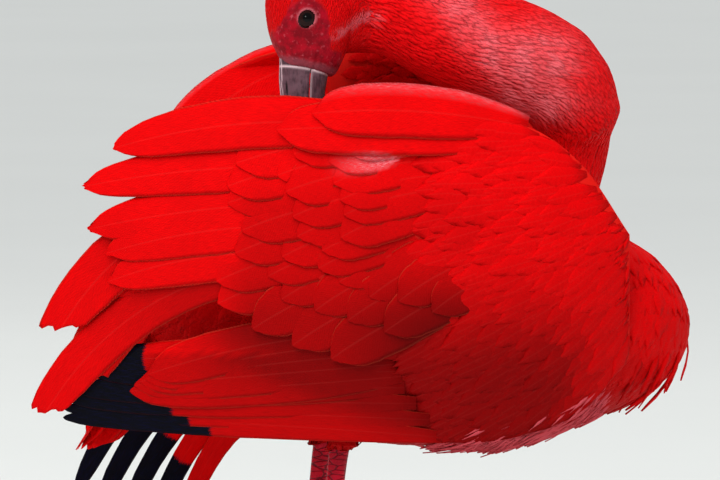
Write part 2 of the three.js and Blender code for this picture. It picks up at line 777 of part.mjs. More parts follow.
// Toes: name, direction from straight ahead in degrees (outwards is positive), length.
const TOES = [
  ["inner", -25, 43],
  ["middle", 5, 54],
  ["outer", 37, 46],
  ["hind", 176, 24],
];
const floorSlab = solidOf(new THREE.BoxGeometry(600, 400, 40).translate(0, 0, -20));
for (const [name, leg] of Object.entries(LEGS)) {
  const { side, hip, knee, hock, foot } = leg;
  const thighEnd = knee.clone().lerp(hock, 0.12);
  const thigh = tube({
    points: [hip, hip.clone().lerp(knee, 0.6), thighEnd],
    radii: [22, 15, 5.6],
    steps: 5,
    sides: 12,
    roundEnd: true,
  });
  const shin = tube({
    points: [knee.clone().lerp(hip, 0.2), knee.clone().lerp(hock, 0.5), hock.clone().lerp(knee, 0.12), hock],
    radii: [TIBIA_RADIUS, TIBIA_RADIUS, TIBIA_RADIUS, 5.2],
    steps: 6,
    sides: 10,
    roundEnd: true,
  });
  const tarsus = tube({
    points: [hock, hock.clone().lerp(foot, 0.15), hock.clone().lerp(foot, 0.55), foot],
    radii: [5.2, 4.1, TARSUS_RADIUS, 4.2],
    steps: 6,
    sides: 9,
    roundEnd: true,
  });
  const toes = [];
  for (const [toe, degrees, length] of TOES) {
    const heading = THREE.MathUtils.degToRad(degrees * side);
    const ahead = point(Math.cos(heading), Math.sin(heading), 0);
    const at = (reach, height) => foot.clone().setZ(height).addScaledVector(ahead, reach);
    toes.push(
      tube({
        points: [at(0, 5.3), at(length * 0.3, TOE_RADIUS - 0.4), at(length * 0.65, 2.5), at(length, 2)],
        radii: [3.8, TOE_RADIUS, 2.9, 2.3],
        steps: 4,
        sides: 8,
      }),
    );
    const claw = tube({
      points: [at(length + TOUCH_GAP, 2.6), at(length + CLAW_LENGTH * 0.6, 2.7), at(length + CLAW_LENGTH, 1)],
      radii: [2, 1.4, 0.4],
      steps: 4,
      sides: 6,
    });
    add(`claw_${name}_${toe}`, claw, clawHorn);
  }
  const footSolid = fused(toes, [floorSlab]);
  const shinCut = swollen(shin);
  add(`thigh_${name}`, fused([thigh], [torsoCut, shinCut]), scarletFeather);
  add(`shin_${name}`, fused([shin], [torsoCut]), legSkin);
  add(`tarsus_${name}`, fused([tarsus], [shinCut, ...toes.map((toe) => swollen(toe))]), legSkin);
  add(`foot_${name}`, footSolid, legSkin);
}

// The origin is on the floor below the middle of the bird's outline.
const outline = new THREE.Box3().setFromObject(ibis);
const middle = outline.getCenter(point());
ibis.position.set(-middle.x, -middle.y, -outline.min.z);

export default ibis;
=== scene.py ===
# %% [markdown]
# # A scarlet ibis, life size, preening
# The bird is dressed piece by piece around its imported solids: one skin under the plumage, a coat of
# small body feathers, the big feathers of wings and tail, the bare face, bill, eyes, legs and claws.
# The imported solids give the places, so this first cell loads them, with a function that measures the box
# of each.

# %% Load the solids
import json
import math

import bmesh
import bpy
import numpy as np
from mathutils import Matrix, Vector

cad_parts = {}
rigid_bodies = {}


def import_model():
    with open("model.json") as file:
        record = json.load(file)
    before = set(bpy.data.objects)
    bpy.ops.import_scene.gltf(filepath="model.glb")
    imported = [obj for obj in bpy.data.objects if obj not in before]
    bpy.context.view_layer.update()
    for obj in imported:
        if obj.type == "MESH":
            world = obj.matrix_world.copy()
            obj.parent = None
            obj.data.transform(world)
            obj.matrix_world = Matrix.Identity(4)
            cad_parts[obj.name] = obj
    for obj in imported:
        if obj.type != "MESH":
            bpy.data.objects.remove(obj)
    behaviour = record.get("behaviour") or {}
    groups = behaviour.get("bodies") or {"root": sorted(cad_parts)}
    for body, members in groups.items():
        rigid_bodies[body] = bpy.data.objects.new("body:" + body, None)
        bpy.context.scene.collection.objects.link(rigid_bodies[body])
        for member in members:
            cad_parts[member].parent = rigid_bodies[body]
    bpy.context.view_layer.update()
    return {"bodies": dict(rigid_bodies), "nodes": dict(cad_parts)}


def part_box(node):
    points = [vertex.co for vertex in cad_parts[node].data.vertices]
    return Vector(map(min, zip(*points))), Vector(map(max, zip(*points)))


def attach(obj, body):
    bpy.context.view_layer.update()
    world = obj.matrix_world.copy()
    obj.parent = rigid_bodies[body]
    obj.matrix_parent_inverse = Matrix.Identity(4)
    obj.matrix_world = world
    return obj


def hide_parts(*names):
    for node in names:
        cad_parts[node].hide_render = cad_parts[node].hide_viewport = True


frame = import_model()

BODY = next(iter(frame["bodies"]))
print("body", BODY, "nodes", len(frame["nodes"]))

# %% [markdown]
# ## Two rulers
# The bird's own sizes are easiest to read in millimetres, measured from the middle of the body, and
# the scene is in metres. Two known edges, the tip of the breast and the outer toes, say where the
# body's middle line stands in the scene, so that one function can change one ruler into the other.

# %% From the bird's millimetres to the scene's metres
MM = 0.001
BREAST_TIP_X = 147
HOME = np.array([
    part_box("torso")[1].x - BREAST_TIP_X * MM,
    (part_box("foot_near")[0].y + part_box("foot_far")[1].y) / 2,
    0.0,
])


def metres(points):
    """The bird's millimetres as places in the scene."""
    return np.asarray(points, float) * MM + HOME


def table_value(rows, where):
    """Smooth values between the rows of a table whose first column is the position."""
    rows = np.array(rows, float)
    x, value = rows[:, 0], rows[:, 1:]
    slope = np.empty_like(value)
    slope[1:-1] = (value[2:] - value[:-2]) / (x[2:] - x[:-2])[:, None]
    slope[0] = (value[1] - value[0]) / (x[1] - x[0])
    slope[-1] = (value[-1] - value[-2]) / (x[-1] - x[-2])
    where = np.clip(np.asarray(where, float), x[0], x[-1])
    i = np.clip(np.searchsorted(x, where, side="right") - 1, 0, len(x) - 2)
    span = (x[i + 1] - x[i])[..., None]
    t = (where - x[i])[..., None] / span
    start = (2 * t**3 - 3 * t**2 + 1) * value[i] + (t**3 - 2 * t**2 + t) * slope[i] * span
    end = (3 * t**2 - 2 * t**3) * value[i + 1] + (t**3 - t**2) * slope[i + 1] * span
    return start + end


def ease(low, high, value):
    """0 below low, 1 above high, and a soft step between them."""
    t = np.clip((np.asarray(value, float) - low) / (high - low), 0, 1)
    return t * t * (3 - 2 * t)


def hill(value, middle, spread):
    """1 at a middle value, falling softly to 0 on both sides of it."""
    return np.exp(-(((value - middle) / spread) ** 2))


def unit(vectors):
    """Vectors at length one."""
    vectors = np.asarray(vectors, float)
    return vectors / np.maximum(np.linalg.norm(vectors, axis=-1, keepdims=True), 1e-9)


print("home", [round(v, 4) for v in HOME])

# %% [markdown]
# ## Meshes and pieces
# Every finished piece is a plain mesh with its place in its vertices. One function makes the mesh,
# with an optional map and named marks on its vertices that the materials read, and another hands the
# piece over: what it rides on, which solids it stands for and which finish it takes.

# %% Make a mesh, hand over a piece
def make_object(name, points, faces, uvs=None, marks=None):
    """A smooth mesh object from points in metres. uvs and marks have one value for each point."""
    mesh = bpy.data.meshes.new(name)
    mesh.from_pydata(np.asarray(points).tolist(), [], [list(map(int, face)) for face in faces])
    if uvs is not None:
        corners = np.empty(len(mesh.loops), int)
        mesh.loops.foreach_get("vertex_index", corners)
        layer = mesh.uv_layers.new(name="vane")
        layer.data.foreach_set("uv", np.asarray(uvs, float)[corners].ravel())
    for mark, values in (marks or {}).items():
        attribute = mesh.attributes.new(mark, "FLOAT", "POINT")
        attribute.data.foreach_set("value", np.asarray(values, float).ravel())
    mesh.shade_smooth()
    thing = bpy.data.objects.new(name, mesh)
    bpy.context.collection.objects.link(thing)
    return thing


def hand_over(thing, material, slot, *nodes):
    """Gives a piece its finish, and says which solids it stands for."""
    if material is not None:
        thing.data.materials.clear()
        thing.data.materials.append(material)
    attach(thing, BODY)
    if nodes:
        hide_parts(*nodes)
    print(thing.name, "faces", len(thing.data.polygons))
    return thing


def grid_faces(rows, columns, closed_round=False):
    """Four-cornered faces between rows of points."""
    r = np.arange(rows - 1)[:, None]
    c = np.arange(columns if closed_round else columns - 1)[None, :]
    nxt = (c + 1) % columns
    return np.stack([
        r * columns + c, r * columns + nxt, (r + 1) * columns + nxt, (r + 1) * columns + c,
    ], -1).reshape(-1, 4)


def closed_blade(top, under):
    """The points and faces of a thin blade, from the grids of its upper and its lower side."""
    ring = np.concatenate([top, under[:, -2:0:-1]], axis=1)
    rows, columns = top.shape[:2]
    count = ring.shape[1]
    faces = [list(face) for face in grid_faces(rows, count, closed_round=True)]
    for start in (0, (rows - 1) * count):
        upper = [start + k for k in range(columns)]
        lower = [start + (count - k) % count for k in range(columns)]
        for k in range(columns - 1):
            corners = [upper[k], upper[k + 1], lower[k + 1], lower[k]]
            corners = [c for i, c in enumerate(corners) if c not in corners[:i]]
            faces.append(corners if start else corners[::-1])
    return ring.reshape(-1, 3), faces


def both_sides(values):
    """A value for each point of a closed blade, from a grid of them for its upper side."""
    return np.concatenate([values, values[:, -2:0:-1]], axis=1)


def turned_out(thing):
    """Turns the faces of a closed piece outwards."""
    shape = bmesh.new()
    shape.from_mesh(thing.data)
    bmesh.ops.recalc_face_normals(shape, faces=shape.faces)
    if shape.calc_volume(signed=True) < 0:
        bmesh.ops.reverse_faces(shape, faces=shape.faces)
    shape.to_mesh(thing.data)
    shape.free()
    return thing


def loft(name, rings, marks=None):
    """A closed skin through rings of points, in millimetres, with a point closing each end."""
    rings = np.asarray(rings, float)
    count, sides = rings.shape[:2]
    points = np.concatenate([rings.reshape(-1, 3), rings[0].mean(0)[None], rings[-1].mean(0)[None]])
    faces = [list(face) for face in grid_faces(count, sides, closed_round=True)]
    for k in range(sides):
        after = (k + 1) % sides
        faces.append([count * sides, after, k])
        faces.append([count * sides + 1, (count - 1) * sides + k, (count - 1) * sides + after])
    if marks:
        marks = {
            key: np.concatenate([np.ravel(v), [np.mean(v[0])], [np.mean(v[-1])]])
            for key, v in marks.items()
        }
    return turned_out(make_object(name, metres(points), faces, marks=marks))


# %% [markdown]
# ## The camera and the light
# The photo was taken with a long lens, a little above the bird's back, so the camera stands four and
# a half metres off. One photo pixel is 0.45 mm at the bird. The light is that of a pale studio: a
# broad soft key from above and the left, a weaker fill, and a light surround.

# %% Camera
MM_PER_PIXEL = 0.45
PHOTO_WIDTH = 720
CAMERA_DISTANCE = 4500
CAMERA_RISE = math.radians(4)
FRAME_MIDDLE = (-4.5, 0, 227.25)
SENSOR_WIDTH = 36


def aimed(thing, place, target):
    """Puts a camera or light at a place, facing a target, both in metres."""
    thing.location = place
    thing.rotation_euler = (Vector(target) - Vector(place)).to_track_quat("-Z", "Y").to_euler()
    bpy.context.collection.objects.link(thing)
    return thing


target = Vector(metres(FRAME_MIDDLE))
back = Vector((0, -math.cos(CAMERA_RISE), math.sin(CAMERA_RISE))) * CAMERA_DISTANCE * MM
lens_data = bpy.data.cameras.new("camera")
lens_data.sensor_width = SENSOR_WIDTH
lens_data.lens = SENSOR_WIDTH * CAMERA_DISTANCE / (PHOTO_WIDTH * MM_PER_PIXEL)
lens_data.clip_end = 100
camera = aimed(bpy.data.objects.new("camera", lens_data), target + back, target)
bpy.context.scene.camera = camera
print("lens", round(lens_data.lens), "mm")

# %% [markdown]
# ## Colour and nodes
# Colours are written as the eye knows them, in sRGB hex, and one function turns them to the linear
# numbers that shaders count in. A second small function adds a node with its settings and links. A
# node's sockets go by name, or by number where several share a name: a mix of colours has its amount
# at 0, its colours at 6 and 7, and a soft step has its value at 0, the range that it reads at 1 and 2
# and the range that it gives at 3 and 4. The kinds of node that come often are kept as short words.
# The Standard view keeps a saturated scarlet as it is, where a film-like view would turn it orange.

# %% Colour, nodes, view
def colour(code):
    """An sRGB hex colour as a linear one."""
    channels = [int(code[i:i + 2], 16) / 255 for i in (0, 2, 4)]
    return (*[c / 12.92 if c <= 0.04045 else ((c + 0.055) / 1.055) ** 2.4 for c in channels], 1.0)


def add(tree, sockets, kind, out=None, **settings):
    """Adds a node with its settings and its sockets' values or links. Gives the output out, or the node."""
    made = tree.nodes.new(kind)
    for key, value in settings.items():
        setattr(made, key, value)
    for key, value in (sockets or {}).items():
        socket = made.inputs[key]
        if isinstance(value, bpy.types.NodeSocket):
            tree.links.new(value, socket)
        else:
            socket.default_value = value
    return made if out is None else made.outputs[out]


MARK = {"kind": "ShaderNodeAttribute", "out": "Fac"}
NOISE = {"kind": "ShaderNodeTexNoise", "out": "Fac"}
CELLS = {"kind": "ShaderNodeTexVoronoi", "out": 0}
BUMP = {"kind": "ShaderNodeBump", "out": 0}
MIX = {"kind": "ShaderNodeMix", "out": 2, "data_type": "RGBA"}
SOFT_STEP = {"kind": "ShaderNodeMapRange", "out": 0, "interpolation_type": "SMOOTHSTEP"}
TIMES, PLUS, MINUS, ABOVE, WAVE, SIZE = (
    {"kind": "ShaderNodeMath", "out": 0, "operation": operation}
    for operation in ("MULTIPLY", "ADD", "SUBTRACT", "GREATER_THAN", "SINE", "ABSOLUTE")
)


def new_finish(name, **values):
    """A material with one shader. Gives it, its tree, the shader, and the sockets of a noise on it."""
    material = bpy.data.materials.new(name)
    material.use_nodes = True
    tree = material.node_tree
    tree.nodes.clear()
    values = {key.replace("_", " "): value for key, value in values.items()}
    shader = add(tree, values, "ShaderNodeBsdfPrincipled")
    add(tree, {"Surface": shader.outputs["BSDF"]}, "ShaderNodeOutputMaterial")
    place = add(tree, None, "ShaderNodeTexCoord", "Object")
    return material, tree, shader, {"Vector": place, "Detail": 3.0, "Roughness": 0.55}


bpy.context.scene.view_settings.view_transform = "Standard"
bpy.context.scene.view_settings.look = "None"

# %% Lights, floor and surround
def softbox(name, place, size, watts, tint):
    """A square soft light that faces the bird."""
    data = bpy.data.lights.new(name, "AREA")
    data.size = size
    data.energy = watts
    data.color = tint
    light = aimed(bpy.data.objects.new(name, data), Vector(place), Vector(metres((0, 0, 220))))
    light.visible_camera = False
    light.visible_glossy = False
    return light


sky_data = bpy.data.lights.new("sky", "SUN")
sky_data.energy = 1.65
sky_data.angle = math.radians(55)
sky = aimed(bpy.data.objects.new("sky", sky_data), Vector((-0.5, -0.55, 1.6)), Vector((0, 0, 0)))
sky.visible_glossy = False
softbox("key", (-0.9, -1.5, 2.1), 1.5, 14, (1.0, 0.98, 0.95))
softbox("top", (0.3, 0.2, 2.4), 1.6, 12, (1.0, 1.0, 1.0))
softbox("rear", (-1.2, 1.9, 1.3), 1.3, 6, (1.0, 0.99, 0.97))
spark = softbox("spark", (-1.2, -3.4, 2.2), 0.8, 30, (1.0, 1.0, 1.0))
spark.visible_glossy = True
surround = bpy.data.worlds.new("studio")
bpy.context.scene.world = surround
surround.use_nodes = True
surround.node_tree.nodes["Background"].inputs["Color"].default_value = colour("e9ecef")
surround.node_tree.nodes["Background"].inputs["Strength"].default_value = 0.5

FLOOR_HALF_WIDTH = 40
corners = [(x * FLOOR_HALF_WIDTH, y * FLOOR_HALF_WIDTH, 0) for x, y in ((-1, -1), (1, -1), (1, 1), (-1, 1))]
floor = make_object("floor", corners, [(0, 1, 2, 3)])
matt_paint, tree, shader, grain = new_finish("matt_painted_board", Roughness=0.85)
speckle = add(tree, {**grain, "Scale": 3.0}, **NOISE)
board = add(tree, {0: speckle, 6: colour("d9dbd8"), 7: colour("dee0dd")}, **MIX)
tree.links.new(board, shader.inputs["Base Color"])
floor.data.materials.append(matt_paint)

# %% [markdown]
# ## The finish of a feather
# Contour feathers are keratin, and a scarlet ibis owes its colour to carotenoid pigment in the barbs.
# The eye sees a soft matt red with a faint silky sheen along the barbs, which run slanting outwards
# from the shaft. The shaft is a little paler, and the rim of each vane is paler and warmer, partly wear
# and partly a painted rim highlight. The tips of the outer primaries are black with a blue gloss, and a
# mark of painted shade darkens the feathers where shade falls. Barbs lie about 0.3 mm apart, too fine to
# show here, so they are drawn about three times as coarse.

# %% Scarlet feather, with marks for tint, black tips, paleness and painted shade
BARB_SLANT = 0.165
TIP_START = 1.04


def feather_finish(name, body_code, dark_code, rim_code, barbs, sheen=0.04, shade_strength=0.85):
    """A matt feather. barbs is how many barbs are drawn along one vane; shade_strength is how far the
    painted shade mark darkens it.
    """
    material, tree, shader, grain = new_finish(
        name, Roughness=0.7, Sheen_Weight=sheen, Sheen_Roughness=0.4, Sheen_Tint=colour("ff2a1e"),
        Specular_IOR_Level=0.06,
    )
    mark = {key: add(tree, None, attribute_name=key, **MARK) for key in ("tint", "deep", "pale", "ink")}
    vane_map = add(tree, None, "ShaderNodeUVMap", "UV", uv_map="vane")
    across, along = add(tree, {"Vector": vane_map}, "ShaderNodeSeparateXYZ").outputs[:2]
    side = add(tree, {0: add(tree, {0: across, 1: 2.0}, **TIMES), 1: 1.0}, **MINUS)
    off_shaft = add(tree, {0: side}, **SIZE)
    ray = add(tree, {0: along, 1: add(tree, {0: off_shaft, 1: BARB_SLANT}, **TIMES)}, **MINUS)
    barb = add(tree, {0: add(tree, {0: ray, 1: barbs * math.tau}, **TIMES)}, **WAVE)
    widened = add(tree, {0: side, 1: 2.0}, **TIMES)
    stretched = add(tree, {"X": widened, "Y": ray}, "ShaderNodeCombineXYZ", 0)
    streak = add(tree, {"Vector": stretched, "Scale": 26.0, "Detail": 4.0, "Roughness": 0.6}, **NOISE)
    blotch = add(tree, {**grain, "Scale": 45.0}, **NOISE)
    ragged = add(tree, {0: along, 1: add(tree, {0: streak, 1: 0.05}, **TIMES)}, **PLUS)
    ink = add(tree, {0: ragged, 1: add(tree, {0: TIP_START, 1: mark["ink"]}, **MINUS)}, **ABOVE)
    patchy_pale = add(tree, {0: streak, 1: 0.3, 2: 0.6, 3: 0.4, 4: 1.0}, **SOFT_STEP)
    pale_share = add(tree, {0: streak, 1: 0.45, 2: 0.75}, **SOFT_STEP)
    ink_share = add(tree, {0: streak, 1: 0.5, 2: 0.75}, **SOFT_STEP)
    body, dark = colour(body_code), colour(dark_code)
    for amount, tone in (
        (add(tree, {0: streak, 1: 0.3, 2: 0.72}, **SOFT_STEP), dark),
        (add(tree, {0: blotch, 1: 0.35, 2: 0.7, 4: 0.35}, **SOFT_STEP), dark),
        (add(tree, {0: mark["tint"], 1: 0.16}, **TIMES), dark),
        # Painted shade: the deep mark darkens the vane towards a deep red where shade falls.
        (add(tree, {0: mark["deep"], 1: shade_strength}, **TIMES), colour("6c0001")),
        # Wear and a painted rim highlight: the rim of each vane is paler and warmer.
        (add(tree, {0: off_shaft, 1: 0.92, 2: 1.0, 4: 0.22}, **SOFT_STEP), colour(rim_code)),
        (add(tree, {0: off_shaft, 1: 0.05, 2: 0.02, 4: 0.03}, **SOFT_STEP), colour("ff6a60")),
        (add(tree, {0: mark["pale"], 1: patchy_pale}, **TIMES),
         add(tree, {0: pale_share, 6: colour("fa5c68"), 7: colour("f8b4b8")}, **MIX)),
        (ink, add(tree, {0: ink_share, 6: colour("04040b"), 7: colour("0b1040")}, **MIX)),
    ):
        body = add(tree, {0: amount, 6: body, 7: tone}, **MIX)
    gloss = add(tree, {0: ink, 3: 0.62, 4: 0.38}, **SOFT_STEP)
    barbed = add(tree, {"Height": barb, "Strength": 0.2, "Distance": 0.0002}, **BUMP)
    bumps = add(tree, {"Height": streak, "Strength": 0.25, "Distance": 0.0005, "Normal": barbed}, **BUMP)
    for value, socket in ((body, "Base Color"), (gloss, "Roughness"), (bumps, "Normal")):
        tree.links.new(value, shader.inputs[socket])
    return material


scarlet_vane = feather_finish("scarlet_feather_vane", "f40003", "c80002", "ff5a40", 60)
# Painted highlight: the neck feathers' colours are brighter than the body coat's, for the strong light on
# the neck.
brightened_neck_velvet = feather_finish("scarlet_neck_feather", "ff0a10", "e4040a", "ff5a50", 9, 0.08)
scarlet_coat = feather_finish("scarlet_body_feather", "f20004", "cc0003", "ff3a2a", 9, 0.05)
downy_finish = feather_finish("pale_downy_feather", "ea6a74", "c83844", "f6c4c4", 7, 0.3, 0.15)

# %% [markdown]
# ## The head's own axes
# The head hangs bill down with the crown towards the rump. Its shape is easiest to give in its own
# axes: back from the root of the bill, crown above and throat below the axis, and out to the side.

# %% Head axes and sizes
BILL_ROOT = np.array([-29.0, -26.0, 307.0])
HEAD_BACK = unit([0.139, 0.19, 0.97])
HEAD_SIDE = unit(np.array([0, -1, 0]) + HEAD_BACK * HEAD_BACK[1])
HEAD_CROWN = np.cross(HEAD_SIDE, HEAD_BACK)
if HEAD_CROWN[0] > 0:
    HEAD_CROWN = -HEAD_CROWN
HEAD_ROWS = [
    [-1.5, 9.6, 12.5, 8.2], [0, 10.8, 14, 9.4], [3, 13, 15.2, 11], [9, 16.8, 17, 12.8],
    [18, 20, 18.8, 14.6], [27, 21.7, 19.6, 15.8], [36, 21, 19, 15.8], [45, 17.5, 16, 13.8],
    [51, 12, 11, 10], [54.5, 5, 5, 4.5],
]
CHIN_REACH = 0.10
CROWN_SLANT = 0.35
EYE_BACK = 19.5
EYE_CROWN = 2.2
EYE_RADIUS = 5.5
LID_RADIUS = 3.6
EYE_BULGE = 0.55


def in_head(back, crown, side):
    """A place given in the head's own axes, in the bird's millimetres."""
    back, crown, side = np.broadcast_arrays(back, crown, side)
    place = BILL_ROOT + back[..., None] * HEAD_BACK + crown[..., None] * HEAD_CROWN
    return place + side[..., None] * HEAD_SIDE


def head_parts(points):
    """How far back, up the crown and out to the side points of the bird lie in the head's axes."""
    away = np.asarray(points) - BILL_ROOT
    return away @ HEAD_BACK, away @ HEAD_CROWN, away @ HEAD_SIDE


crown_at_eye, _, half_at_eye = table_value(HEAD_ROWS, EYE_BACK)
EYE_SURFACE = half_at_eye * math.sqrt(1 - (EYE_CROWN / crown_at_eye) ** 2)
EYE_DEPTH = EYE_SURFACE - math.sqrt(EYE_RADIUS**2 - LID_RADIUS**2) + EYE_BULGE
print("eye stands", round(EYE_SURFACE, 1), "mm out from the middle of the head")

# %% [markdown]
# ## One skin for the whole body
# Under the plumage a bird is one closed skin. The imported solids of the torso, the neck and the thighs
# are copied, grown a little so that they merge, and remeshed into one surface, which is then smoothed
# and drawn in by the depth of the coat. The head is lofted by itself, fine enough for lids, lores and
# the line of the mouth, and joined to the rest.

# %% Merge the solids of torso, neck and thighs
MERGE_GROWTH = 0.0006
SKIN_VOXEL = 0.0024
SKIN_SMOOTHING = 12
SKIN_SOFTNESS = 0.6
FLESH = ["torso", "neck_stem", "neck_fold", "neck_nape", "head", "thigh_near", "thigh_far"]


def merged_solids(name, nodes, voxel, growth, smoothing, balls=()):
    """One smooth mesh over copies of several solids, and over balls given as [place, radius]."""
    shape = bmesh.new()
    for place, radius in balls:
        made = bmesh.ops.create_icosphere(shape, subdivisions=3, radius=radius * MM)
        bmesh.ops.translate(shape, verts=made["verts"], vec=Vector(metres(place)))
    for node in nodes:
        part = bmesh.new()
        part.from_mesh(frame["nodes"][node].data)
        bmesh.ops.remove_doubles(part, verts=part.verts, dist=1e-6)
        part.normal_update()
        for vertex in part.verts:
            vertex.co += vertex.normal * growth
        copy = bpy.data.meshes.new(node + "_copy")
        part.to_mesh(copy)
        part.free()
        shape.from_mesh(copy)
        bpy.data.meshes.remove(copy)
    return remeshed(name, shape, voxel, smoothing, SKIN_SOFTNESS)


def remeshed(name, shape, voxel, smoothing, softness=0.5, smooth_shade=False):
    """One smooth surface over all the closed shapes in a bmesh."""
    mesh = bpy.data.meshes.new(name)
    shape.to_mesh(mesh)
    shape.free()
    thing = bpy.data.objects.new(name, mesh)
    bpy.context.collection.objects.link(thing)
    remesh = thing.modifiers.new("remesh", "REMESH")
    remesh.mode = "VOXEL"
    remesh.voxel_size = voxel
    remesh.use_smooth_shade = smooth_shade
    soften = thing.modifiers.new("soften", "SMOOTH")
    soften.factor = softness
    soften.iterations = smoothing
    return baked(thing)


def baked(thing):
    """Replaces an object's mesh by what its modifiers make of it."""
    graph = bpy.context.evaluated_depsgraph_get()
    made = bpy.data.meshes.new_from_object(thing.evaluated_get(graph))
    old = thing.data
    thing.modifiers.clear()
    thing.data = made
    made.name = thing.name
    bpy.data.meshes.remove(old)
    return thing


THROAT = [[(-9, -17, 321), 13], [(-2, -14, 322), 13], [(6, -12, 322), 12]]
skin = merged_solids("skin", FLESH, SKIN_VOXEL, MERGE_GROWTH, SKIN_SMOOTHING, THROAT)
print("merged body", len(skin.data.vertices), "vertices")

# %% Draw the body skin in by the depth of the coat
BODY_COAT = 4.2
NECK_COAT = 1.6
HEAD_SINK = 3.4
NECK_LINE = np.array([
    (-24, -22, 350), (-12, -18, 343), (2, -14, 340), (19, -11, 330), (43, -8, 318), (66, -5, 310),
    (83, -2, 302), (96, 3, 286), (91, 9, 266), (86, 9, 245), (84, 7, 226),
], float)
NECK_ROOT = NECK_LINE[-1]


def bird_points(thing):
    """The vertices of a piece in the bird's millimetres, and their normals."""
    places = np.empty(len(thing.data.vertices) * 3, np.float32)
    thing.data.vertices.foreach_get("co", places)
    normals = np.empty(len(thing.data.vertices) * 3, np.float32)
    thing.data.vertices.foreach_get("normal", normals)
    return (places.reshape(-1, 3) - HOME) / MM, normals.reshape(-1, 3).astype(float)


def along_neck(points):
    """For each point: distance to the neck's middle line, its direction there, and 0 to 1 along it."""
    best = np.full(len(points), 1e9)
    way = np.zeros_like(points)
    place = np.zeros(len(points))
    segments = len(NECK_LINE) - 1
    for i in range(segments):
        a, b = NECK_LINE[i], NECK_LINE[i + 1]
        t = np.clip((points - a) @ (b - a) / ((b - a) @ (b - a)), 0, 1)
        gap = np.linalg.norm(points - a - t[:, None] * (b - a), axis=1)
        nearer = gap < best
        best[nearer] = gap[nearer]
        way[nearer] = unit(b - a)
        place[nearer] = (i + t[nearer]) / segments
    return best, way, place


points, normals = bird_points(skin)
height = points[:, 2]
neck_gap, neck_way, neck_place = along_neck(points)
on_neck = 1 - ease(24, 36, neck_gap)
on_neck = np.where(height < 232, on_neck * ease(214, 238, height), on_neck)
neck_depth = NECK_COAT * (1 + ease(0.1, 0.5, neck_place))
depth = BODY_COAT * (1 - on_neck) + neck_depth * on_neck
head_back, head_crown, head_out = head_parts(points)
under_head = (np.hypot(head_crown, head_out) < 26) * ease(50, 40, head_back)
depth = np.maximum(depth, HEAD_SINK * under_head)
points = points - normals * depth[:, None]
skin.data.vertices.foreach_set("co", metres(points).astype(np.float32).ravel())
skin.data.update()

# %% [markdown]
# The head is a loft of rings across its axis. A soft dip makes the lores in front of the eye, a
# groove runs back from the gape, and round each eye the surface rises into a lid and then falls
# away into the socket.

# %% Loft the head
HEAD_START = -1.5
HEAD_LENGTH = 56.0
HEAD_RING_COUNT = 84
HEAD_SIDES = 150


def head_shape():
    """Rings of points for the head."""
    back = np.linspace(0, 1, HEAD_RING_COUNT)
    back = HEAD_START + HEAD_LENGTH * (1 - (1 - back) ** 1.15)
    crown, throat, half = table_value(HEAD_ROWS, back).T
    angle = np.linspace(0, math.tau, HEAD_SIDES, endpoint=False)
    rise = np.where(np.cos(angle) > 0, np.cos(angle) * crown[:, None], np.cos(angle) * throat[:, None])
    side = half[:, None] * np.sin(angle)
    slant = CHIN_REACH * np.maximum(0, 1 - back / 16)[:, None] * np.where(rise > 0, CROWN_SLANT, 1)
    back = back[:, None] + slant * rise
    out = np.abs(np.sin(angle))[None, :] ** 0.5
    lores = hill(back, 8, 5) * hill(rise, 2, 5)
    cheek = hill(back, 17, 7) * hill(rise, -9, 5)
    brow = hill(back, 18, 6) * hill(rise, 9, 3)
    gape = hill(rise + back * 0.12, -4.4, 0.7) * ease(12, 4, back)
    from_eye = np.hypot(back - EYE_BACK, rise - EYE_CROWN)
    lid = hill(from_eye, LID_RADIUS + 0.2, 0.75)
    socket = ease(LID_RADIUS - 0.1, LID_RADIUS - 1.1, from_eye)
    shape = -1.5 * lores + 0.9 * cheek + 0.7 * brow - 0.9 * gape + 1.0 * lid - 4.2 * socket
    side = side + np.sign(np.sin(angle)) * out * shape
    return in_head(back, rise, side)


head = loft("head_skin", head_shape())
print("head", len(head.data.vertices), "vertices")

# %% Join head and body into one closed skin
joint = skin.modifiers.new("join", "BOOLEAN")
joint.operation = "UNION"
joint.solver = "EXACT"
joint.object = head
baked(skin)
bpy.data.objects.remove(head)
print("one skin", len(skin.data.vertices), "vertices")

# %% [markdown]
# ## The lie of the coat
# Every small feather points away from the head: down the neck, out over the shoulders from the root
# of the neck, back along the flanks and down the thighs. That direction, the length of the feathers
# and how thickly they stand are stored on the skin, one value a vertex, so that the coat can read
# them wherever a feather is set.

# %% Store lie, length and cover on the skin
def store(thing, name, values):
    """Keeps a number or a direction for each vertex."""
    values = np.asarray(values, float)
    kind, key = ("FLOAT_VECTOR", "vector") if values.ndim == 2 else ("FLOAT", "value")
    attribute = thing.data.attributes.new(name, kind, "POINT")
    attribute.data.foreach_set(key, values.ravel())


def patchy(points, size, seed):
    """A soft random value from 0 to 1 that changes over a given distance."""
    rng = np.random.default_rng(seed)
    total = np.zeros(len(points))
    for _ in range(6):
        way = unit(rng.normal(size=3)) * math.tau / size * rng.uniform(0.6, 1.4)
        total += np.sin(points @ way + rng.uniform(0, math.tau))
    return 0.5 + total / 12 * 1.6


def segment_gap(x, z, a, b):
    """How far places of the side view are from a straight line between two points."""
    a, b = np.array(a, float), np.array(b, float)
    way = b - a
    t = np.clip(((x - a[0]) * way[0] + (z - a[1]) * way[1]) / (way @ way), 0, 1)
    return np.hypot(x - a[0] - t * way[0], z - a[1] - t * way[1])


points, normals = bird_points(skin)
x, y, z = points.T
neck_gap, neck_way, neck_place = along_neck(points)
back, crown, side = head_parts(points)
off_axis = np.hypot(crown, side)
on_neck = 1 - ease(24, 38, neck_gap)
on_neck = np.where(z < 236, on_neck * ease(212, 236, z), on_neck)
in_head_zone = ease(-4, 4, back) * ease(60, 54, back) * (off_axis < 24)
thigh = ease(143, 138, z) * ease(28, 22, np.abs(np.abs(y) - 18)) * (x < 8)

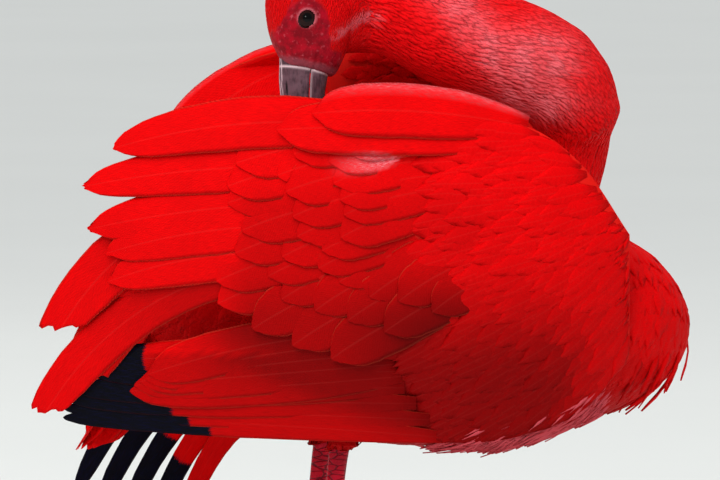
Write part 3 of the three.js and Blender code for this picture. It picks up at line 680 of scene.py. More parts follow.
# The lie is blended from the body's, the neck's, the thighs' and the head's, and laid on the skin.
lie = unit(points - NECK_ROOT) * 0.5 + np.array([-0.45, 0, -0.75])
over_head = -HEAD_CROWN * 0.1 + HEAD_BACK * 0.9 - HEAD_CROWN * ease(30, 52, back)[:, None] * 0.8
for other, share in ((neck_way, on_neck), (np.array([-0.15, 0, -1.0]), thigh), (over_head, in_head_zone)):
    lie = lie * (1 - share)[:, None] + other * share[:, None]
lie = unit(lie - normals * np.sum(lie * normals, axis=1)[:, None])

# The bare face ends on the forehead, behind the eye, and at the jaw in front of the throat.
rim = np.where(crown > 0, 27 - 16 * ease(9, 17, crown), 27 - 20 * ease(3, 13, -crown))
face_zone = (back > -8) & (back < 34) & (off_axis < 24) & (neck_gap > 0)
bare = np.where(face_zone, ease(1.5, -1.5, back - rim + 5 * (patchy(points, 4, 3) - 0.5)), 0.0)
beside_eye = np.hypot(back - EYE_BACK, crown - EYE_CROWN)
bare = np.where(face_zone & (beside_eye < 9.5), np.maximum(bare, ease(9.5, 7.5, beside_eye)), bare)
lid = face_zone * hill(beside_eye, LID_RADIUS + 0.15, 0.65) * (np.abs(side) > 8)
cere = face_zone * ease(2.4, 0.4, back - CHIN_REACH * crown * np.maximum(0, 1 - back / 16))

# Each coat has its own part of the feathered skin.
feathered = 1 - bare
neck_zone = feathered * (in_head_zone <= 0.3) * (on_neck > 0.35)
beyond_head = (off_axis > 26) | (back > 62) | (back < -12)
body_zone = (on_neck <= 0.35) * beyond_head * (thigh <= 0.1) * (z > 136)
belly = ease(150, 141, z) * ease(25, 45, x) * (thigh < 0.5) * ease(0.1, -0.5, normals[:, 2])
covers = {
    "head": feathered * (in_head_zone > 0.3), "thigh": (thigh > 0.5) * 1.0, "belly": belly,
    "neck": neck_zone * (neck_place < 0.42), "neck_low": neck_zone * (neck_place >= 0.42),
    "chest": ease(112, 126, x) * ease(192, 176, z),
    "body_near": body_zone * (x >= 40) * (y < 0), "body_far": body_zone * (x >= 40) * (y >= 0),
    "back_near": body_zone * (x < 40) * (y < 0), "back_far": body_zone * (x < 40) * (y >= 0),
}

# The pale, ruffled patches of the neck, partly pale feathers and partly painted highlight; a painted
# highlight along the edge of the jaw; and painted shade under the body, the neck and the jaw and over the
# upper back.
near_side = ease(4, -6, y + (z - 300) * 0.1)
band_one = hill(x + (z - 330) * 0.75, 40, 11) * ease(282, 292, z)
puff = 1.7 * hill(x, 72, 17) * hill(z, 312, 13)
low_band = hill(x, 70, 22) * hill(z, 292, 7)
# The pale of the ruffled neck is partly pale feathers and partly a painted highlight where light falls
# strongly on the puff.
ruffled = np.clip(0.85 * band_one + 0.7 * puff + 0.75 * low_band, 0, 1) * near_side * on_neck
ruffled_pale_and_highlit = ruffled * (0.62 + 0.38 * ease(0.35, 0.75, patchy(points, 7, 5)))
# Painted highlight: a pale streak along the lit edge of the jaw fold.
jaw_gap = segment_gap(x, z, (-15.7, 320.0), (0.5, 330.5))
jaw_edge_highlight = hill(jaw_gap, 0, 1.7) * (y < -14) * ease(0.2, 0.5, patchy(points, 4, 6))
# Painted shade: darker under the body, under the neck, under the jaw and over the upper back.
under_body = ease(200, 150, z) * ease(142, 120, x) * (on_neck < 0.3)
under_neck = hill(z + 0.12 * (x - 20), 292, 9) * on_neck * ease(95, 80, x)
under_jaw = hill(x, -4, 9) * hill(z, 313, 9) * (y < 0)
upper_back = ease(268, 284, z) * (1 - on_neck) * (back < 0)
shadow = 0.8 * under_body + 0.4 * under_neck + 0.3 * under_jaw + 0.3 * upper_back
size = 1 - 0.45 * (1 - ease(10, 34, back)) * in_head_zone
size *= 1 + 0.25 * (patchy(points, 14, 9) - 0.5)
marks = {
    "lie": lie, "bare": bare, "lid": lid, "cere": cere, "ruffle": ruffled, "size": size,
    "pale": np.clip(ruffled_pale_and_highlit + 0.9 * jaw_edge_highlight, 0, 1), "deep": np.clip(shadow, 0, 1),
}
for key, cover in covers.items():
    marks["cover_" + key] = cover
for key, values in marks.items():
    store(skin, key, values)
print("bare face", int((bare > 0.5).sum()), "vertices")

# %% [markdown]
# ## A map for the skin and its coat
# The skin is unwrapped once by its own shape, in one map named OFBake. A tuft of the coat takes a
# tiny patch of that map at the place where it is rooted.

# %% Unwrap the skin
def unwrapped(thing):
    """Unwraps a piece by the shape of its surface, into a map named OFBake."""
    bpy.context.view_layer.objects.active = thing
    thing.select_set(True)
    thing.data.uv_layers.new(name="OFBake")
    bpy.ops.object.mode_set(mode="EDIT")
    bpy.ops.mesh.select_all(action="SELECT")
    bpy.ops.uv.smart_project(angle_limit=math.radians(66), island_margin=0.004)
    bpy.ops.object.mode_set(mode="OBJECT")
    thing.select_set(False)
    return thing


unwrapped(skin)
print("map", [layer.name for layer in skin.data.uv_layers])

# %% [markdown]
# ## One small feather
# The coat is made of copies of a few small feathers. Each is a thin closed blade: broad near the
# middle, arched across, rounded or ragged at the tip, and rooted at its own origin so that it can be
# turned about its root. It lies along +X with its face to +Z.

# %% Small feathers for the coat
def small_feather(name, outline, arch, droop, notches, sides, seed, thickness):
    """A closed blade one unit long. outline gives [share of the length, half width]."""
    rng = np.random.default_rng(seed)
    outline = np.array(outline, float)
    across = np.linspace(-1, 1, sides)
    top = []
    for along, half in outline:
        reach = along - 0.16 * across**2 * along * (along > 0.5)
        reach = reach + notches * along**3 * rng.uniform(-1, 1, sides)
        top.append(np.stack([reach, across * half, arch * half * (1 - across**2) - droop * along**2], -1))
    under = np.array(top)
    under[:, 1:-1, 2] -= thickness
    points, faces = closed_blade(np.array(top), under)
    u = both_sides(np.tile(across, (len(outline), 1))) * 0.5 + 0.5
    v = np.broadcast_to(outline[:, :1], u.shape)
    marks = {"up": points[:, 2], "along": v.ravel()}
    return turned_out(make_object(name, points, faces, np.stack([u, v], -1).reshape(-1, 2), marks))


def templates(name, outline, sides, thickness, seed, *shapes):
    """A few small feathers, kept out of the picture. shapes gives the arch, droop and notches of each."""
    kept = bpy.data.collections.new(name + "_feathers")
    for index, shape in enumerate(shapes):
        feather = small_feather(f"{name}_{'abc'[index]}", outline, *shape, sides, seed + index, thickness)
        bpy.context.collection.objects.unlink(feather)
        kept.objects.link(feather)
    return kept


ROUND_OUTLINE = [[0, 0.05], [0.3, 0.17], [0.68, 0.21], [0.9, 0.15], [1.0, 0.04]]
NARROW_OUTLINE = [[0, 0.05], [0.6, 0.14], [1.0, 0.02]]
WISP_OUTLINE = [[0, 0.03], [0.3, 0.08], [0.65, 0.06], [1.0, 0.008]]
body_templates = templates("body", ROUND_OUTLINE, 7, 0.012, 11,
                           (0.12, 0.02, 0.05), (0.10, 0.03, 0.07), (0.14, 0.01, 0.05))
flat_templates = templates("flat", ROUND_OUTLINE, 7, 0.012, 14,
                           (0.12, 0.01, 0.04), (0.10, 0.02, 0.05), (0.14, 0.01, 0.04))
neck_templates = templates("neck", NARROW_OUTLINE, 3, 0.015, 21,
                           (0.08, 0.01, 0.04), (0.06, 0.02, 0.05), (0.10, 0.00, 0.03))
wisp_templates = templates("wisp", WISP_OUTLINE, 3, 0.035, 31,
                           (0.5, 0.16, 0.0), (0.4, 0.28, 0.0), (0.5, 0.05, 0.0))

# %% [markdown]
# ## The coat as a Geometry Nodes tree
# One tree makes every coat. It strews roots over the skin no closer than a spacing, where a cover
# mark asks for them; turns each feather so that its face follows the skin and its length follows the
# lie; lifts, sizes and tints it a little at random; and sets a copy there. The copies are then made
# real, keep their root's place in the map, and take their finish.

# %% The tree
INPUTS = {
    "Geometry": "Geometry", "Feathers": "Collection", "Cover": "String", "Spacing": "Float",
    "Density": "Float", "Length": "Float", "Lift": "Float", "Lift change": "Float", "Stray": "Float",
    "Width": "Float", "Ruffle lift": "Float", "Cling": "Float", "Finish": "Material", "Seed": "Int",
}
COVER_LEAST = 0.35
ROLL_MOST = 0.25
MAP_PATCH = 0.003
READ = {"kind": "GeometryNodeInputNamedAttribute", "out": 0}
KEEP = {"kind": "GeometryNodeStoreNamedAttribute", "out": 0}
CHANCE = {"kind": "FunctionNodeRandomValue", "out": 1, "data_type": "FLOAT"}
THREE = {"kind": "ShaderNodeCombineXYZ", "out": 0}
SCALED, SUM, UNIT = (
    {"kind": "ShaderNodeVectorMath", "out": 0, "operation": operation}
    for operation in ("SCALE", "ADD", "NORMALIZE")
)


def coat_tree():
    """The Geometry Nodes tree that sets small feathers on a skin."""
    tree = bpy.data.node_groups.new("coat", "GeometryNodeTree")
    for name, kind in INPUTS.items():
        tree.interface.new_socket(name, in_out="INPUT", socket_type="NodeSocket" + kind)
    tree.interface.new_socket("Geometry", in_out="OUTPUT", socket_type="NodeSocketGeometry")
    given = add(tree, None, "NodeGroupInput").outputs
    ground, seed = given["Geometry"], given["Seed"]
    chance = {}
    for key, low, high, offset in (
        ("x", -1.0, 1.0, 3), ("y", -1.0, 1.0, 5), ("z", -1.0, 1.0, 7), ("lift", -1.0, 1.0, 11),
        ("roll", -1.0, 1.0, 13), ("length", 0.8, 1.2, 17), ("tint", 0.0, 1.0, 23),
    ):
        own_seed = add(tree, {0: seed, 1: offset}, **PLUS)
        chance[key] = add(tree, {2: low, 3: high, 8: own_seed}, **CHANCE)
    read = {
        key: add(tree, {"Name": key}, data_type="FLOAT", **READ)
        for key in ("ruffle", "size", "up", "slope", "along", "long")
    }
    for key in ("lie", "OFBake", "vane"):
        read[key] = add(tree, {"Name": key}, data_type="FLOAT_VECTOR", **READ)

    # Roots, strewn where the cover mark is high enough.
    cover = add(tree, {"Name": given["Cover"]}, data_type="FLOAT", **READ)
    roots = add(tree, {
        "Mesh": ground, "Distance Min": given["Spacing"], "Density Max": given["Density"],
        "Density Factor": cover, "Seed": seed,
    }, "GeometryNodeDistributePointsOnFaces", distribute_method="POISSON").outputs
    wanted = add(tree, {0: cover, 1: COVER_LEAST}, **ABOVE)
    kept = add(tree, {"Geometry": roots["Points"], "Selection": wanted}, "GeometryNodeSeparateGeometry",
               "Selection", domain="POINT")

    # The way, the tilt and the size of each feather.
    stray = add(tree, {axis: chance[axis.lower()] for axis in "XYZ"}, **THREE)
    stray = add(tree, {0: stray, 3: given["Stray"]}, **SCALED)
    way = add(tree, {0: read["lie"], 1: stray}, **SUM)
    turn = add(tree, {"Primary Axis": roots["Normal"], "Secondary Axis": way},
               "FunctionNodeAxesToRotation", 0, primary_axis="Z", secondary_axis="X")
    ruffle = add(tree, {0: read["ruffle"], 1: given["Ruffle lift"]}, **TIMES)
    change = add(tree, {0: chance["lift"], 1: given["Lift change"]}, **TIMES)
    lift = add(tree, {0: add(tree, {0: given["Lift"], 1: change}, **PLUS), 1: ruffle}, **PLUS)
    roll = add(tree, {0: chance["roll"], 1: ROLL_MOST}, **TIMES)
    tilt = add(tree, {"X": roll, "Y": add(tree, {0: lift, 1: -1.0}, **TIMES)}, **THREE)
    turn = add(tree, {"Rotation": turn, "Rotate By": tilt}, "FunctionNodeRotateRotation", 0,
               rotation_space="LOCAL")
    length = add(tree, {0: given["Length"], 1: chance["length"]}, **TIMES)
    length = add(tree, {0: length, 1: read["size"]}, **TIMES)
    width = add(tree, {0: length, 1: given["Width"]}, **TIMES)

    # A copy of a small feather on each root, with its own tint, length and slope.
    choice = add(tree, {"Collection": given["Feathers"], "Separate Children": True, "Reset Children": True},
                 "GeometryNodeCollectionInfo", 0)
    coat = add(tree, {
        "Points": kept, "Instance": choice, "Pick Instance": True, "Rotation": turn,
        "Scale": add(tree, {"X": length, "Y": width, "Z": length}, **THREE),
    }, "GeometryNodeInstanceOnPoints", 0)
    for name, value in (("tint", chance["tint"]), ("long", length), ("slope", lift)):
        coat = add(tree, {"Geometry": coat, "Name": name, "Value": value}, data_type="FLOAT",
                   domain="INSTANCE", **KEEP)
    coat = add(tree, {"Geometry": coat}, "GeometryNodeRealizeInstances", 0)

    # The cling: every point is drawn to its own height over the nearest place of the skin.
    here = add(tree, None, "GeometryNodeInputPosition", 0)
    foot = add(tree, {0: ground, "Sample Position": here}, "GeometryNodeProximity", "Position",
               target_element="FACES")
    normal = add(tree, None, "GeometryNodeInputNormal", 0)
    outwards = add(tree, {"Mesh": ground, "Value": normal, "Sample Position": here},
                   "GeometryNodeSampleNearestSurface", 0, data_type="FLOAT_VECTOR")
    slope = add(tree, {0: read["slope"], 1: read["along"]}, **TIMES)
    rise = add(tree, {0: add(tree, {0: read["up"], 1: slope}, **PLUS), 1: read["long"]}, **TIMES)
    raised = add(tree, {0: add(tree, {0: outwards}, **UNIT), 3: rise}, **SCALED)
    laid = add(tree, {0: foot, 1: raised}, **SUM)
    spot = add(tree, {0: given["Cling"], 4: here, 5: laid}, "ShaderNodeMix", 1, data_type="VECTOR")
    coat = add(tree, {"Geometry": coat, "Position": spot}, "GeometryNodeSetPosition", 0)

    # Each feather takes a tiny patch of the map at its root's place there.
    shifted = add(tree, {0: read["vane"], 1: (-0.5, -0.5, 0)}, **SUM)
    patch = add(tree, {0: shifted, 3: MAP_PATCH}, **SCALED)
    spot = add(tree, {0: read["OFBake"], 1: patch}, **SUM)
    coat = add(tree, {"Geometry": coat, "Name": "OFBake", "Value": spot}, data_type="FLOAT2",
               domain="CORNER", **KEEP)
    coat = add(tree, {"Geometry": coat, "Material": given["Finish"]}, "GeometryNodeSetMaterial", 0)
    add(tree, {"Geometry": coat}, "NodeGroupOutput")
    return tree


COAT = coat_tree()


def coat(name, ground, cover, feathers, finish, spacing, length, seed, **rest):
    """A coat of small feathers over a ground, where a cover mark asks for them."""
    values = {
        "Lift": 0.16, "Lift change": 0.07, "Stray": 0.12, "Width": 1.0, "Ruffle lift": 0.5, "Cling": 1.0,
        "Feathers": feathers, "Cover": cover, "Spacing": spacing * MM, "Length": length * MM,
        "Density": 4.0 / (spacing * MM) ** 2, "Finish": finish, "Seed": seed,
    }
    values.update({key.replace("_", " "): value for key, value in rest.items()})
    thing = ground.copy()
    thing.data = ground.data.copy()
    thing.name = name
    bpy.context.collection.objects.link(thing)
    strewn = thing.modifiers.new("coat", "NODES")
    strewn.node_group = COAT
    for item in COAT.interface.items_tree:
        if item.in_out == "INPUT" and item.name in values:
            strewn[item.identifier] = values[item.name]
    return hand_over(baked(thing), None, "scarlet_feather")


# %% Set the coats
for place, seed in (("body_near", 101), ("body_far", 109), ("back_near", 108), ("back_far", 110)):
    coat("coat_" + place, skin, "cover_" + place, body_templates, scarlet_coat, 2.9, 17, seed,
         Lift=0.04, Lift_change=0.01)
for place, seed in (("neck", 102), ("neck_low", 107)):
    coat("coat_" + place, skin, "cover_" + place, neck_templates, brightened_neck_velvet, 1.2, 7.5, seed,
         Lift=0.022, Lift_change=0.006, Ruffle_lift=0.02)
coat("coat_head", skin, "cover_head", neck_templates, brightened_neck_velvet, 0.8, 3.6, 103,
     Lift=0.07, Lift_change=0.03)
coat("coat_thighs", skin, "cover_thigh", neck_templates, scarlet_coat, 1.7, 8, 104, Lift=0.05)
coat("coat_belly", skin, "cover_belly", wisp_templates, downy_finish, 2.4, 14, 105,
     Lift=0.22, Stray=0.25, Width=0.9, Cling=0.3)
coat("coat_breast", skin, "cover_chest", wisp_templates, scarlet_coat, 7, 20, 106,
     Lift=0.13, Stray=0.35, Width=1.3, Cling=0.15)

# %% [markdown]
# ## The big feathers of the wings
# A wing is a curved sheet with rows of feathers on it. Each vane is a thin closed blade that follows
# the sheet: it has a raised shaft, arches a little to both sides, tips one edge over its neighbour and
# ends round, or frayed where the photo shows a worn tip. A row is blended between its first, middle
# and last feather, so a few numbers place a dozen feathers.

# %% Wing sheets and vanes
NEAR_SHEET = [
    [-150, 40], [-120, 46], [-80, 55], [-40, 61], [0, 64], [40, 64], [80, 56], [105, 46], [128, 30],
]
FAR_SHEET = [
    [-150, 38], [-120, 43], [-80, 50], [-40, 55], [0, 58], [40, 60], [80, 54], [105, 44], [128, 30],
]
SHEET_MIDDLE = 212
SHEET_REACH = 85
UPPER_TUCK = 20
SHOULDER_FILL = 20
BLADE_THICKNESS = 0.22
LONG_SHARES = [[0, 0.4], [0.12, 0.62], [0.35, 0.92], [0.7, 1.0], [0.86, 0.9], [0.95, 0.66], [1.0, 0.24]]
POINTED_SHARES = [[0, 0.4], [0.2, 0.78], [0.5, 1.0], [0.75, 0.9], [0.9, 0.68], [0.97, 0.44], [1.0, 0.2]]
PRIMARY_SHARES = [[0, 0.5], [0.3, 0.95], [0.5, 1.0], [0.62, 0.74], [0.75, 0.6], [0.9, 0.45], [1.0, 0.1]]
SHORT_SHARES = [[0, 0.45], [0.25, 0.8], [0.55, 1.0], [0.8, 0.94], [0.93, 0.72], [1.0, 0.34]]
BLUNT_SHARES = [[0, 0.4], [0.12, 0.62], [0.35, 0.92], [0.65, 1.0], [0.9, 0.82], [1.0, 0.6]]
near_wing = {"side": -1, "sheet": NEAR_SHEET, "tuck": 15}
far_wing = {"side": 1, "sheet": FAR_SHEET, "tuck": 6}


def on_sheet(wing, x, z, lift):
    """Places on a wing's sheet, lifted outwards, in the bird's millimetres."""
    t = (z - SHEET_MIDDLE) / SHEET_REACH
    out = table_value(wing["sheet"], x)[..., 0] - np.where(t > 0, UPPER_TUCK, wing["tuck"]) * t * t + lift
    return np.stack([x, wing["side"] * out, z], -1)


class Blades:
    """Collects many thin blades, each a grid of places with one underside, into one mesh."""

    def __init__(self, seed):
        self.rng = np.random.default_rng(seed)
        self.points, self.faces, self.uvs, self.cells = [], [], [], []
        self.marks = {"tint": [], "ink": [], "pale": [], "deep": []}
        self.total = 0

    def blade(self, top, under, uv, **marks):
        """Adds one blade. top and under are grids of places; uv is the grid of the vane's own map."""
        points, faces = closed_blade(top, under)
        self.points.append(points)
        self.faces += [[self.total + corner for corner in face] for face in faces]
        self.uvs.append(both_sides(uv).reshape(-1, 2))
        self.cells.append(len(points))
        for key, kept in self.marks.items():
            kept.append(both_sides(np.broadcast_to(marks.get(key, 0.0), top.shape[:2])).ravel())
        self.total += len(points)

    def finish(self, name):
        """One mesh of all the blades, each with its own cell of the OFBake map."""
        uvs = np.concatenate(self.uvs)
        marks = {key: np.concatenate(values) for key, values in self.marks.items()}
        thing = make_object(name, metres(np.concatenate(self.points)), self.faces, uvs, marks)
        across = math.ceil(math.sqrt(len(self.cells) / 3))
        down = math.ceil(len(self.cells) / across)
        index = np.repeat(np.arange(len(self.cells)), self.cells)
        cell = np.stack([index % across, index // across], -1)
        packed = (cell + 0.06 + 0.88 * uvs) / [across, down]
        corners = np.empty(len(thing.data.loops), int)
        thing.data.loops.foreach_get("vertex_index", corners)
        layer = thing.data.uv_layers.new(name="OFBake")
        layer.data.foreach_set("uv", packed[corners].ravel())
        return turned_out(thing)


def vane(blades, wing, root, tip, width, bow=0.0, rise=(0, 0), shingle=1.4, shares=LONG_SHARES, rows=20,
         columns=11, fray=0.0, ink=0.0, pale=0.0, arch=0.5, jitter=1.0, deep=0.0,
         oblique=0.0, shade=None):
    """One feather on a wing's sheet. root and tip are [x, z]; bow bends it in the sheet."""
    rng = blades.rng
    root = np.array(root, float) + rng.normal(0, 0.5, 2) * jitter
    tip = np.array(tip, float) + rng.normal(0, 0.9, 2) * jitter
    width = width * (1 + rng.uniform(-0.04, 0.04) * jitter)
    along = tip - root
    length = np.hypot(*along)
    way = along / length
    across = np.array([-way[1], way[0]])
    t = 1 - (1 - np.linspace(0, 1, rows)) ** 1.5
    edge = np.linspace(-1, 1, columns)
    share = table_value(shares, t)[:, 0]
    swing = bow * 4 * t * (1 - t)
    lean = bow * 4 * (1 - 2 * t) / length
    reach = across - way * lean[:, None]
    centre = root + along * t[:, None] + across * swing[:, None]
    ragged = 1 + rng.normal(0, 0.012, (rows, columns)) * (t[:, None] > 0.4)
    flat = centre[:, None] + reach[:, None] * (width / 2 * share[:, None] * edge * ragged)[..., None]
    ahead = unit(along + across * (bow * 4 * (1 - 2 * t))[:, None])[:, None]
    sweep = (width * 0.12) * np.abs(edge) ** 1.5 * ease(0.2, 1.0, t)[:, None]
    cut = oblique * edge * ease(0.8, 1.0, t)[:, None]
    worn = rng.uniform(-1, 1, columns) * fray * ease(0.9, 1.0, t)[:, None]
    flat = flat + ahead * (worn - sweep - cut)[..., None]
    lift = rise[0] + (rise[1] - rise[0]) * t[:, None]
    lift = lift + shingle * edge * share[:, None] * np.minimum(1, 3 * t)[:, None]
    lift = lift - arch * edge**2 * share[:, None] + 0.16 * hill(edge, 0, 0.1) * (1 - t[:, None])
    lift = lift + rng.normal(0, 0.2) * t[:, None] * jitter
    wave = 0.35 * np.sin(t * rng.uniform(6, 12) + rng.uniform(0, 6))[:, None] * edge**2
    top = on_sheet(wing, flat[..., 0], flat[..., 1], lift + wave * jitter)
    under = on_sheet(wing, flat[..., 0], flat[..., 1], lift + wave * jitter - BLADE_THICKNESS)
    uv = np.stack(np.broadcast_arrays(edge * 0.5 + 0.5, t[:, None]), -1)
    # The painted shade of a vane is strongest at its root, under the feathers above it, and fades towards
    # the tip.
    deep = deep * ease(0.95, 0.45, t)[:, None]
    if shade is not None:
        deep, pale = shade(flat[..., 0], flat[..., 1], deep, pale)
    blades.blade(top, under, uv, tint=rng.uniform(0, 1), ink=ink, pale=pale, deep=deep)


def blended(count, first, last, middle=None):
    """Numbers for a row of feathers between a first and a last one, bent through a middle one."""
    for i in range(count):
        t = i / max(1, count - 1)
        one = {}
        for key in first:
            a, b = np.array(first[key], float), np.array(last[key], float)
            one[key] = a + (b - a) * t
            if middle is not None:
                one[key] = one[key] + 4 * t * (1 - t) * (np.array(middle[key], float) - (a + b) / 2)
        yield t, one


def tier(blades, wing, count, first, last, middle=None, ink=None, **shared):
    """A row of feathers blended between its ends. ink gives where black begins, for both ends."""
    for t, one in blended(count, first, last, middle):
        dark = 0.0 if ink is None else 1 - (ink[0] + (ink[1] - ink[0]) * t)
        vane(blades, wing, ink=dark, **one, **shared)


def feather(root, tip, width, bow):
    """The numbers of one feather of a row."""
    return {"root": root, "tip": tip, "width": width, "bow": bow}


# %% The near wing
COVERT_TIPS = [
    (-16, 176, 25), (-36, 183, 24), (-56, 192, 20), (-70, 204, 15), (-64, 217, 13), (-58, 229, 11),
    (-62, 241, 9), (-66, 252, 8), (-60, 263, 7),
]
PATCH_LEFT = (-20, 264)
PATCH_RIGHT = (11, 266.5)


def shade_under_coverts(x, z, deep, pale):
    """Painted shade: a dark band under the tips of the lowest coverts, and a darker lower wing."""
    low_tips = [(30, 160), (6, 168)] + [tip[:2] for tip in COVERT_TIPS[:4]]
    gap = np.min([segment_gap(x, z, a, b) for a, b in zip(low_tips[:-1], low_tips[1:])], axis=0)
    return np.clip(0.45 * (z < 180) + hill(gap, 0, 17), 0, 1), pale


def pale_wedge_and_shade(x, z, deep, pale):
    """A wedge of worn pale barbs on the upper coverts, sharp in front and fading backwards, with painted
    shade that darkens the coverts downwards and towards the front.
    """
    t = (x - PATCH_LEFT[0]) / (PATCH_RIGHT[0] - PATCH_LEFT[0])
    middle = PATCH_LEFT[1] + (PATCH_RIGHT[1] - PATCH_LEFT[1]) * t
    spread = 1.0 + 3.2 * ease(1.05, 0.6, t)
    wedge = np.clip(t, 0, 1) ** 1.5 * ease(1.08, 1.0, t) * np.exp(-(((z - middle) / spread) ** 4))
    # Painted shade, darker downwards and towards the front of the coverts.
    shadow = 0.38 * ease(262, 238, z) + 0.4 * ease(225, 192, z)
    shadow = shadow + 0.45 * ease(240, 178, z) * ease(-30, 36, x)
    return shadow * ease(-75, -50, x), np.maximum(pale, 1.4 * wedge)


near = Blades(7)
tier(
    near, near_wing, 6, feather([34, 142.5], [-137, 151], 13, -2), feather([10, 180], [-122, 177], 17, 0),
    feather([18, 162], [-134, 161], 15, 0), rise=(-2.3, 1.2), shingle=0.8, ink=(0.6, 0.82),
    shares=POINTED_SHARES, shade=shade_under_coverts,
)
tier(near, near_wing, 5, feather([14, 171], [-107, 163.5], 18, 1), feather([4, 191], [-99, 171], 21, -4),
     rise=(-2.3, 3.0), shingle=0.2, jitter=0.4, shade=shade_under_coverts)
# The worn feathers carry painted shade at their roots.
for worn_feather, oblique, height in ((feather([-10, 228], [-128, 170], 26, -26), 0.0, 3.0),
                                      (feather([-6, 216], [-144.5, 153], 21, -26), 4.0, 4.8),
                                      (feather([-12, 238], [-138, 190.5], 24, -27), 6.0, 4.6)):
    vane(
        near, near_wing, **worn_feather, rise=(-1.4, height), shingle=0.6, shares=BLUNT_SHARES, fray=1.6,
        jitter=0.2, deep=0.5, oblique=oblique,
    )
for long_tertial in (feather([-8, 222], [-117, 212], 24, -8), feather([-8, 236], [-118, 224.5], 22, -6),
                     feather([-6, 248], [-126, 235], 23, -4), feather([4, 262], [-128, 254.5], 22, -5),
                     feather([22, 277], [-115, 271], 23, -9)):
    vane(near, near_wing, **long_tertial, rise=(-1.2, 5.6), shingle=0.4, fray=0.8, jitter=0.3,
         shares=POINTED_SHARES)
wing_near = near.finish("wing_near_flight_feathers")

near = Blades(8)
SHORT = {"shares": SHORT_SHARES, "rows": 12, "columns": 9, "fray": 0.5, "arch": 1.0}
NEAR_SHORT = {**SHORT, "rows": 22, "columns": 11, "fray": 0.3, "arch": 0.6, "shade": pale_wedge_and_shade}
CAMERA_LOWERS = 3


def covert_row(blades, wing, shift, count, length, width, rise):
    """A row of coverts whose tips follow the table, moved forward by a shift along their own slope."""
    tips = np.array(COVERT_TIPS, float)
    table = np.column_stack([np.linspace(0, 1, len(tips)), tips])
    for t in np.linspace(0, 1, count):
        x, z, slope = table_value(table, t)
        way = np.array([math.cos(math.radians(slope)), math.sin(math.radians(slope))])
        tip = np.array([x, z + CAMERA_LOWERS]) + way * shift
        vane(blades, wing, tip + way * length, tip, width, -4, rise=rise, shingle=0.5, **NEAR_SHORT)


covert_row(near, near_wing, 0, 10, 76, 26, (-3.0, 3.0))
covert_row(near, near_wing, 25, 11, 66, 24, (-3.0, 2.2))
covert_row(near, near_wing, 48, 12, 58, 22, (-3.5, 1.6))
# Painted highlight along the upper edge of the top covert, fading towards its tip.
upper_edge_highlight = 0.55 * np.clip(np.linspace(1, -4.5, 9), 0, 1)[None, :]
upper_edge_highlight = upper_edge_highlight * ease(1.0, 0.5, np.linspace(0, 1, 18))[:, None]
for root, tip, bow, height, rest in (
    ([60, 275], [-42, 280], -3, 4.6, {"rows": 26, "columns": 11, "shade": pale_wedge_and_shade}),
    ([70, 281], [-26, 287], -4, 5.0, {"rows": 18, "columns": 9, "pale": upper_edge_highlight}),
):
    vane(near, near_wing, root, tip, 24, bow, rise=(-1, height), shingle=0.4, jitter=0.2, **rest)
coverts_near = near.finish("wing_near_coverts")
print("near wing", len(wing_near.data.polygons), len(coverts_near.data.polygons))

# %% [markdown]
# The far wing droops: its long black-tipped primaries show under the near wing's tip, and the
# feathers of its shoulder arch over the back behind the bill.

# %% The far wing
far = Blades(9)
PRIMARY_BLACK = [0.86, 0.72, 0.67, 0.67, 0.70]
primaries = blended(5, feather([14, 172], [-88, 80], 15, -27), feather([-8, 198], [-136, 104], 16, -25),
                    feather([4, 184], [-114, 86], 15, -27))
for (_, primary), black in zip(primaries, PRIMARY_BLACK):
    vane(far, far_wing, **primary, rise=(-1.6, 1.2), shingle=1.9, ink=1 - black, jitter=0.4,
         shares=PRIMARY_SHARES)
tier(far, far_wing, 7, feather([-4, 204], [-124, 136], 24, -20), feather([-10, 252], [-114, 204], 26, -20),
     rise=(-1.4, 4.6), shingle=1.4)
tier(far, far_wing, 6, feather([-8, 242], [-108, 196], 26, -18), feather([18, 296], [-98, 236], 28, -29),
     rise=(-1.2, 7.0), shingle=1.4)
back_roof = {"side": -1, "sheet": [[-120, -6], [-60, -8], [20, -8]], "tuck": 0}
for roof_feather in (feather([8, 282], [-92, 236], 26, -12), feather([4, 293], [-91, 247], 26, -12),
                     feather([-4, 309], [-92, 262], 26, -12)):
    # Each roof feather has a painted highlight along its upper edge.
    vane(far, back_roof, **roof_feather, rise=(-1, 1.5), shingle=0.5, jitter=0.2,
         pale=0.25 * (np.linspace(1, -3, 11) > 0.95))
wing_far = far.finish("wing_far_flight_feathers")
far = Blades(10)
tier(far, far_wing, 12, feather([34, 160], [-20, 150], 19, -3), feather([36, 300], [-36, 290], 22, -8),
     feather([22, 222], [-46, 196], 20, -4), rise=(-1, 7.6), shingle=0.9, **SHORT)
tier(far, far_wing, 13, feather([62, 160], [18, 148], 16, -1), feather([66, 276], [6, 296], 18, -4),
     feather([56, 212], [0, 198], 17, -2), rise=(-1, 6), shingle=0.8, **SHORT)
tier(far, far_wing, 12, feather([84, 168], [44, 156], 16, -1), feather([86, 260], [44, 276], 17, -2),
     feather([88, 212], [38, 202], 17, -1), rise=(-1, 5), shingle=0.8, **SHORT)
tier(far, far_wing, 10, feather([104, 186], [76, 176], 15, -1), feather([102, 238], [72, 242], 15, -1),
     rise=(-0.8, 4), shingle=0.7, **SHORT)
coverts_far = far.finish("wing_far_coverts")
print("far wing", len(wing_far.data.polygons), len(coverts_far.data.polygons))

# %% [markdown]
# Inside each wing is the feathered arm. Its outer face lies under the coverts, and its inner face is
# lined with small feathers, as is its leading edge, which meets the breast.

# %% Feathered arms
NEAR_ARM = [
    [-24, 284, 162, 9], [10, 287, 148, 12], [40, 287, 142, 15], [70, 283, 146, 14], [95, 265, 156, 12],
    [116, 234, 178, 9],
]
FAR_ARM = [
    [-22, 313, 190, 8], [6, 321, 168, 10], [40, 304, 150, 12], [70, 282, 150, 12], [95, 260, 158, 11],
    [114, 234, 176, 8],
]


